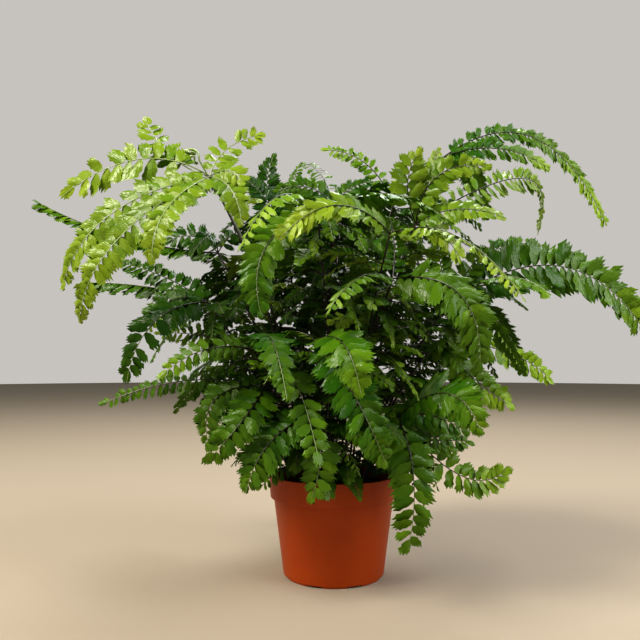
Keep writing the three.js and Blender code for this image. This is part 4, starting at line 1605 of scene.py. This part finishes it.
@dataclass
class Fiddlehead:
    """The young frond: a thin stalk that ends in a coil, with small rolled-up leaf buds on it."""

    frond: Frond
    wires: Tree
    wire_finish: bpy.types.Material
    coil: float = 8.0
    rise: float = 3.0
    turns: float = 1.4
    steps: int = 40
    tightening: float = 0.72
    green_share: float = 0.3
    stalk_radius: float = 0.9
    tip_radius: float = 0.8
    buds: int = 9
    bud_coil: float = 2.6
    bud_steps: int = 14
    bud_half_turns: float = 3.2
    bud_tightening: float = 0.75
    bud_lean: float = 0.5
    bud_depth: float = 0.8
    bud_axis: Point = (0.3, 0.2, 1.0)
    bud_radii: tuple[float, float] = (0.45, 0.6)
    seed: int = 5

    def coil_line(self) -> list[Point]:
        """Returns the flat spiral that winds inwards from the end of the stalk."""
        x, y, z = plus(self.frond.line[-1], (0, 0, self.rise))
        line = []
        for step in range(1, self.steps + 1):
            share = step / self.steps
            angle = share * self.turns * 2 * math.pi
            radius = self.coil * (1 - self.tightening * share)
            line.append((x - self.coil + radius * math.cos(angle), y, z + radius * math.sin(angle)))
        return line

    def bud_line(self, root: Point, rng: random.Random) -> list[Point]:
        """Returns the small spiral of one leaf bud, which leaves its root in a random direction."""
        heading, hand = rng.uniform(0, 2 * math.pi), rng.choice((-1, 1))
        lean = self.bud_lean
        out = unit((lean * math.cos(heading), hand * self.bud_depth, lean * math.sin(heading)))
        side = unit(cross(out, self.bud_axis))
        middle = plus(root, out, self.bud_coil)
        line = []
        for step in range(self.bud_steps + 1):
            angle = step / self.bud_steps * self.bud_half_turns * math.pi
            radius = self.bud_coil * (1 - self.bud_tightening * step / self.bud_steps)
            line.append(plus(plus(middle, out, -radius * math.cos(angle)), side, radius * math.sin(angle)))
        return line

    def build(self) -> bpy.types.Object:
        """Returns the piece."""
        rng = random.Random(self.seed)
        lines = WireLines()
        stalk, coil = smooth_line(self.frond.line), self.coil_line()
        whole = [*stalk, *coil]
        bend = len(stalk) / len(whole)
        green_from = (1 - self.green_share) * bend
        lines.add(whole, lambda t: mix(self.stalk_radius, self.tip_radius, t),
                  lambda t: min(1.0, max(0.0, (t - green_from) / (self.green_share * bend))))
        for bud in range(self.buds):
            root = coil[int((bud + 1) / (self.buds + 1) * len(coil))]
            base, growth = self.bud_radii
            lines.add(self.bud_line(root, rng), lambda t: base + growth * t, lambda t: 1.0)
        piece = lines.build("fiddlehead_coil", self.wires, self.wire_finish)
        return settle(piece, "fiddlehead")


# ---------------------------------------------------------------- pot and soil

def lathe(name: str, profile: Sequence[tuple[float, float]], sides: int) -> bpy.types.Object:
    """Returns a solid turned round Z, from a profile in millimetres that starts and ends on the axis."""
    rings, points, faces = [], [], []
    for radius, z in profile:
        if radius == 0:
            rings.append([len(points)] * sides)
            points.append((0, 0, z * MM))
            continue
        rings.append([len(points) + side for side in range(sides)])
        for side in range(sides):
            angle = 2 * math.pi * side / sides
            points.append((radius * math.cos(angle) * MM, radius * math.sin(angle) * MM, z * MM))
    for low, high in zip(rings, rings[1:]):
        for side in range(sides):
            after = (side + 1) % sides
            corners = [low[side], low[after], high[after], high[side]]
            faces.append(list(dict.fromkeys(corners)))
    return mesh_object(name, points, faces=faces)


def rounded(profile: Sequence[tuple[float, float, float]], steps: int = 4) -> list[tuple[float, float]]:
    """Rounds the corners of a profile.

    Args:
        profile: radius, z and rounding of each corner.
        steps: how many stretches make one rounding.

    Returns:
        The points of the rounded profile.
    """
    points: list[tuple[float, float]] = []
    for index, (x, z, radius) in enumerate(profile):
        corner = Vector((x, z))
        if radius == 0:
            points.append((x, z))
            continue
        before = (Vector(profile[index - 1][:2]) - corner).normalized()
        after = (Vector(profile[index + 1][:2]) - corner).normalized()
        half = before.angle(after) / 2
        start, end = corner + before * radius / math.tan(half), corner + after * radius / math.tan(half)
        for step in range(steps + 1):
            t = step / steps
            spot = start * (1 - t) ** 2 + corner * 2 * t * (1 - t) + end * t * t
            points.append((spot.x, spot.y))
    return points


@dataclass
class NurseryPot:
    """The thin plastic pot: a tapered wall, a collar with a lip, and a foot ring cut by low arches."""

    finish: bpy.types.Material
    sides: int = 160
    sizes: PotSizes = POT
    groove: float = 0.9
    groove_height: float = 0.6
    bead: float = 0.9
    bead_height: float = 1.4
    bead_rounding: float = 0.5
    foot_bevel: float = 1.0
    foot_edge_z: float = 2.0
    edge_rounding: float = 0.3
    ring_rounding: float = 0.25
    inner_rounding: float = 0.4
    floor_rounding: float = 0.8
    arch_rounding: float = 0.7

    def profile(self) -> list[tuple[float, float]]:
        """Returns the wall's section, from the axis under the floor to the axis above it."""
        s = self.sizes
        ring = s.foot_radius - s.foot_ring_width
        step_z = s.collar_z - s.collar_step
        collar = s.body_top_radius + s.collar_step + self.bead
        return rounded([
            (0, s.floor_z, 0),
            (ring - self.foot_bevel, s.floor_z, self.edge_rounding),
            (ring, 0, self.ring_rounding),
            (s.foot_radius - self.foot_bevel, 0, self.edge_rounding),
            (s.foot_radius, self.foot_edge_z, self.floor_rounding),
            (s.body_top_radius - self.groove, step_z - self.groove_height, self.edge_rounding),
            (collar, step_z, self.bead_rounding),
            (collar, step_z + self.bead_height, self.bead_rounding),
            (s.rim_radius, s.height, s.lip_rounding),
            (s.rim_radius - s.wall, s.height, s.lip_rounding),
            (s.inner_top_radius + s.collar_step, s.collar_z + 2 * s.wall, self.inner_rounding),
            (s.inner_radius(step_z), step_z, self.inner_rounding),
            (s.inner_foot_radius, s.floor_top_z, self.floor_rounding),
            (0, s.floor_top_z, 0),
        ])

    def cutters(self) -> bpy.types.Object:
        """Returns one object with the arches and the drain holes, to cut away."""
        s = self.sizes
        build = bmesh.new()
        for index in range(s.foot_arches):
            turn = Matrix.Rotation((index + 0.5) / s.foot_arches * 2 * math.pi, 4, "Z")
            move = Matrix.Translation(((s.foot_radius - s.foot_ring_width / 2) * MM, 0, 0))
            size = (3 * s.foot_ring_width * MM, s.arch_width * MM, 2 * s.arch_height * MM, 1)
            bmesh.ops.create_cube(build, size=1.0, matrix=turn @ move @ Matrix.Diagonal(size))
        bmesh.ops.bevel(build, geom=[edge for edge in build.edges if self.is_arch_top(edge)],
                        offset=self.arch_rounding * MM, segments=3, affect="EDGES")
        radius = s.drain_radius * MM
        for index in range(s.drain_holes):
            angle = index / s.drain_holes * 2 * math.pi
            place = Matrix.Translation((s.drain_circle * math.cos(angle) * MM,
                                        s.drain_circle * math.sin(angle) * MM, s.floor_z * MM))
            bmesh.ops.create_cone(build, cap_ends=True, segments=28, radius1=radius, radius2=radius,
                                  depth=3 * s.floor_top_z * MM, matrix=place)
        mesh = bpy.data.meshes.new("pot cutters")
        build.to_mesh(mesh)
        build.free()
        return link(bpy.data.objects.new("pot cutters", mesh))

    @staticmethod
    def is_arch_top(edge: bmesh.types.BMEdge) -> bool:
        """Tells whether an edge runs outwards along the top of an arch, which is slightly rounded."""
        ends = [vertex.co for vertex in edge.verts]
        level = all(end.z > 0 for end in ends)
        return level and abs(ends[0].xy.length - ends[1].xy.length) > MM

    def build(self) -> bpy.types.Object:
        """Returns the piece."""
        pot = lathe("pot_shell", self.profile(), self.sides)
        cutters = self.cutters()
        cut = pot.modifiers.new("arches and drain holes", "BOOLEAN")
        cut.object, cut.operation, cut.solver = cutters, "DIFFERENCE", "EXACT"
        graph = bpy.context.evaluated_depsgraph_get()
        mesh = bpy.data.meshes.new_from_object(pot.evaluated_get(graph))
        bpy.data.objects.remove(pot)
        bpy.data.objects.remove(cutters)
        smooth(mesh, math.radians(40))
        mesh.materials.clear()
        mesh.materials.append(self.finish)
        piece = link(bpy.data.objects.new("pot_shell", mesh))
        return settle(piece, "pot")


@dataclass
class PottingSoil:
    """The root ball: a rough top, with loose crumbs on it."""

    finish: bpy.types.Material
    sides: int = 120
    rings: int = 34
    roughness: float = 1.6
    smooth_edge: float = 4.0
    lumps_a_metre: float = 160.0
    lump_fall: float = 0.6
    lump_detail: float = 2.1
    lump_octaves: int = 4
    top_share: float = 0.9
    crumbs_share: float = 0.96
    crumb_kinds: int = 4
    crumb_sizes: tuple[float, float] = (0.65, 1.25)
    crumb_flatness: float = 0.75
    crumb_edge: float = 3.2
    density: float = 150000.0
    crumb: tuple[float, float] = (0.8, 2.4)
    seed: int = 3

    def ground(self) -> bpy.types.Object:
        """Returns the root ball with a rough top."""
        edge = POT.inner_radius(SOIL.z) - SOIL.gap
        floor_z = POT.floor_top_z + SOIL.gap
        side = [(0.0, floor_z), (POT.inner_foot_radius - SOIL.gap, floor_z)]
        radii = [edge * (self.rings - ring) / self.rings for ring in range(self.rings + 1)]
        ground = lathe("soil ground", side + [(radius, SOIL.height(radius)) for radius in radii], self.sides)
        for vertex in ground.data.vertices:
            radius = vertex.co.xy.length / MM
            if vertex.co.z > self.top_share * SOIL.z * MM:
                fade = min(1.0, (edge - radius) / self.smooth_edge)
                lump = noise.fractal(vertex.co * self.lumps_a_metre, self.lump_fall, self.lump_detail,
                                     self.lump_octaves)
                vertex.co.z += MM * self.roughness * fade * lump
        return ground

    def crumbs(self) -> bpy.types.Collection:
        """Returns a collection of a few crumb shapes."""
        rng = random.Random(self.seed)
        kinds = bpy.data.collections.new("crumbs")
        for index in range(self.crumb_kinds):
            build = bmesh.new()
            bmesh.ops.create_icosphere(build, subdivisions=1, radius=1.0)
            for vertex in build.verts:
                vertex.co *= rng.uniform(*self.crumb_sizes)
                vertex.co.z *= self.crumb_flatness
            mesh = bpy.data.meshes.new(f"crumb {index}")
            build.to_mesh(mesh)
            build.free()
            kinds.objects.link(bpy.data.objects.new(f"crumb {index}", mesh))
        return kinds

    def tree(self) -> Tree:
        """Returns the tree that strews crumbs on the top of the ground."""
        tree, given = new_nodes("crumbs on soil", "Soil", {
            "Ground": "Geometry", "Crumbs": "Collection", "Finish": "Material", "Density": "Float",
            "Smallest": "Float", "Largest": "Float", "Lowest": "Float", "Edge": "Float", "Seed": "Int"})
        spot = add_node(tree, "GeometryNodeInputPosition").outputs[0]
        split = add_node(tree, "ShaderNodeSeparateXYZ", links={0: spot}).outputs
        flat = add_node(tree, "ShaderNodeCombineXYZ", links={0: split[0], 1: split[1]})
        radius = add_node(tree, "ShaderNodeVectorMath", {"operation": "LENGTH"}, {0: flat.outputs[0]})
        high = add_node(tree, "FunctionNodeCompare", {"operation": "GREATER_THAN"},
                        {0: split[2], 1: given["Lowest"]}).outputs[0]
        within = add_node(tree, "FunctionNodeCompare", {"operation": "LESS_THAN"},
                          {0: radius.outputs["Value"], 1: given["Edge"]}).outputs[0]
        chosen = add_node(tree, "FunctionNodeBooleanMath", {"operation": "AND"}, {0: high, 1: within})
        strewn = add_node(tree, "GeometryNodeDistributePointsOnFaces", links={
            "Mesh": given["Ground"], "Selection": chosen.outputs[0], "Density": given["Density"],
            "Seed": given["Seed"]})
        kinds = add_node(tree, "GeometryNodeCollectionInfo", links={
            "Collection": given["Crumbs"], "Separate Children": True, "Reset Children": True})
        turn = add_node(tree, "FunctionNodeRandomValue", {"data_type": "FLOAT_VECTOR"},
                        {0: (0, 0, 0), 1: (math.tau, math.tau, math.tau), "Seed": given["Seed"]})
        size = add_node(tree, "FunctionNodeRandomValue", {"data_type": "FLOAT"},
                        {2: given["Smallest"], 3: given["Largest"], "Seed": given["Seed"]})
        kind = add_node(tree, "FunctionNodeRandomValue", {"data_type": "INT"},
                        {4: 0, 5: 1000, "Seed": given["Seed"]})
        placed = add_node(tree, "GeometryNodeInstanceOnPoints", links={
            "Points": strewn.outputs[0], "Instance": kinds.outputs[0], "Pick Instance": True,
            "Instance Index": kind.outputs[2], "Rotation": turn.outputs[0], "Scale": size.outputs[1]})
        joined = add_node(tree, "GeometryNodeJoinGeometry", links={0: given["Ground"]})
        tree.links.new(placed.outputs[0], joined.inputs[0])
        return end_nodes(tree, joined.outputs[0], given["Finish"])

    def build(self) -> bpy.types.Object:
        """Returns the piece."""
        kinds = self.crumbs()
        piece = run_nodes(self.ground(), self.tree(), {
            "Crumbs": kinds, "Finish": self.finish, "Density": self.density,
            "Smallest": self.crumb[0] * MM, "Largest": self.crumb[1] * MM,
            "Lowest": self.crumbs_share * SOIL.z * MM, "Edge": (POT.inner_top_radius - self.crumb_edge) * MM,
            "Seed": self.seed}, "soil_ball")
        clear_collection(kinds)
        return settle(piece, "soil")


def clear_collection(collection: bpy.types.Collection) -> None:
    """Removes a collection of shapes that the pieces no longer need."""
    for thing in list(collection.objects):
        bpy.data.objects.remove(thing)
    bpy.data.collections.remove(collection)


# ---------------------------------------------------------------- studio

@dataclass
class Studio:
    """A plain pale floor, soft light from the upper left, and the camera at the photograph's angle."""

    eye: Point = (-12.6, -620.0, 196.0)
    lens: float = 37.46
    shift_y: float = 0.0656
    floor_radius: float = 6.0
    floor_sides: int = 96
    aim: Point = (0, 0, 0.22)
    sky_colour: str = "#c9c6c2"
    zenith_colour: str = "#5c5a58"
    sky_fades: tuple[float, float] = (0.45, 0.8)
    sky_strength: float = 0.85

    def camera(self) -> None:
        """Makes the camera, level and looking along +Y."""
        data = bpy.data.cameras.new("camera")
        data.lens, data.sensor_width, data.shift_y = self.lens, 36.0, self.shift_y
        data.clip_start, data.clip_end = 0.01, 50.0
        camera = link(bpy.data.objects.new("camera", data))
        camera.location = Vector(self.eye) * MM
        camera.rotation_euler = (math.radians(90), 0, 0)
        bpy.context.scene.camera = camera

    def lamp(self, name: str, place: Point, size: float, watts: float, colour: str = "#ffffff") -> None:
        """Makes one square soft light that looks at the middle of the plant."""
        data = bpy.data.lights.new(name, "AREA")
        data.shape, data.size, data.energy = "SQUARE", size, watts
        data.color = linear(colour)[:3]
        lamp = link(bpy.data.objects.new(name, data))
        lamp.location = place
        lamp.rotation_euler = (Vector(self.aim) - Vector(place)).to_track_quat("-Z", "Y").to_euler()

    def build(self) -> None:
        """Makes the floor, the lights and the camera."""
        floor = lathe("floor", [(0, 0), (self.floor_radius / MM, 0)], self.floor_sides)
        floor.data.flip_normals()
        floor.data.materials.append(PaperFinish().build())
        floor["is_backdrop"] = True
        self.sky()
        self.lamp("key", (-1.2, -0.8, 1.75), 0.8, 68.0, "#fff6ea")
        self.lamp("fill", (1.4, -0.65, 1.35), 1.1, 32.0, "#fbf9ff")
        self.lamp("back", (0.5, 1.15, 2.1), 1.0, 36.0)
        self.camera()
        view = bpy.context.scene.view_settings
        view.view_transform, view.look = "Standard", "Medium High Contrast"

    def sky(self) -> None:
        """Makes an even pale sky that darkens overhead."""
        world = bpy.data.worlds.new("studio")
        world.use_nodes = True
        sky = world.node_tree
        background = sky.nodes["Background"]
        way = add_node(sky, "ShaderNodeTexCoord").outputs["Generated"]
        height = add_node(sky, "ShaderNodeSeparateXYZ", links={0: way}).outputs[2]
        high = add_node(sky, "ShaderNodeMapRange", {"interpolation_type": "SMOOTHSTEP"},
                        {0: height, 1: self.sky_fades[0], 2: self.sky_fades[1]}).outputs[0]
        colour = add_node(sky, "ShaderNodeMix", MIX_COLOURS,
                          {0: high, 6: linear(self.sky_colour), 7: linear(self.zenith_colour)})
        sky.links.new(colour.outputs[2], background.inputs["Color"])
        background.inputs["Strength"].default_value = self.sky_strength
        bpy.context.scene.world = world


# ---------------------------------------------------------------- assembly

def write_sizes() -> None:
    """Gathers the box of the solids and the box of the dressed object, both in metres, and keeps neither."""
    boxes = {"cad": CAD_BOX, "visual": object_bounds()}
    {name: [list(corner) for corner in box] for name, box in boxes.items()}


def main() -> None:
    """Dresses the whole object."""
    logging.basicConfig(level=logging.INFO, format="%(name)s: %(message)s")
    growth = FernGrowth()
    fronds, crozier = growth.grow()
    InnerGrowth(growth).grow(fronds, SIDE_PINNAE)
    # the low pinnae under the crown take darker greens still: painted shade
    low = InnerGrowth(growth, seed=31, clearance=2.4, heart=(0, 0, 124), reach=(92, 88, 50),
                      root_share=(0.02, 0.45), length=(34, 66), half_width=(8, 12), youth=(0.0, 0.4))
    low.grow(fronds, LOW_PINNAE)
    for frond in fronds:
        frond.fill_out()
    LOG.info("%d fronds with %d pinnae and %d side pinnae", len(fronds),
             sum(len(frond.blades) for frond in fronds), sum(len(frond.side_blades) for frond in fronds))
    NurseryPot(PotFinish().build()).build()
    PottingSoil(SoilFinish().build()).build()
    kit = LeafletKit()
    kit.build()
    wires, wire_finish = wire_tree(), WireFinish().build()
    leaf_finishes = {age: finish.build() for age, finish in LEAF_FINISHES.items()}
    for index, frond in enumerate(fronds):
        dressing = FrondDressing(frond, kit, wires, wire_finish, leaf_finishes, seed=index + 1)
        dressing.leaflets()
        dressing.stalk()
    Fiddlehead(crozier, wires, wire_finish).build()
    clear_collection(kit.shapes)
    Studio().build()
    write_sizes()


if __name__ == "__main__":
    main()
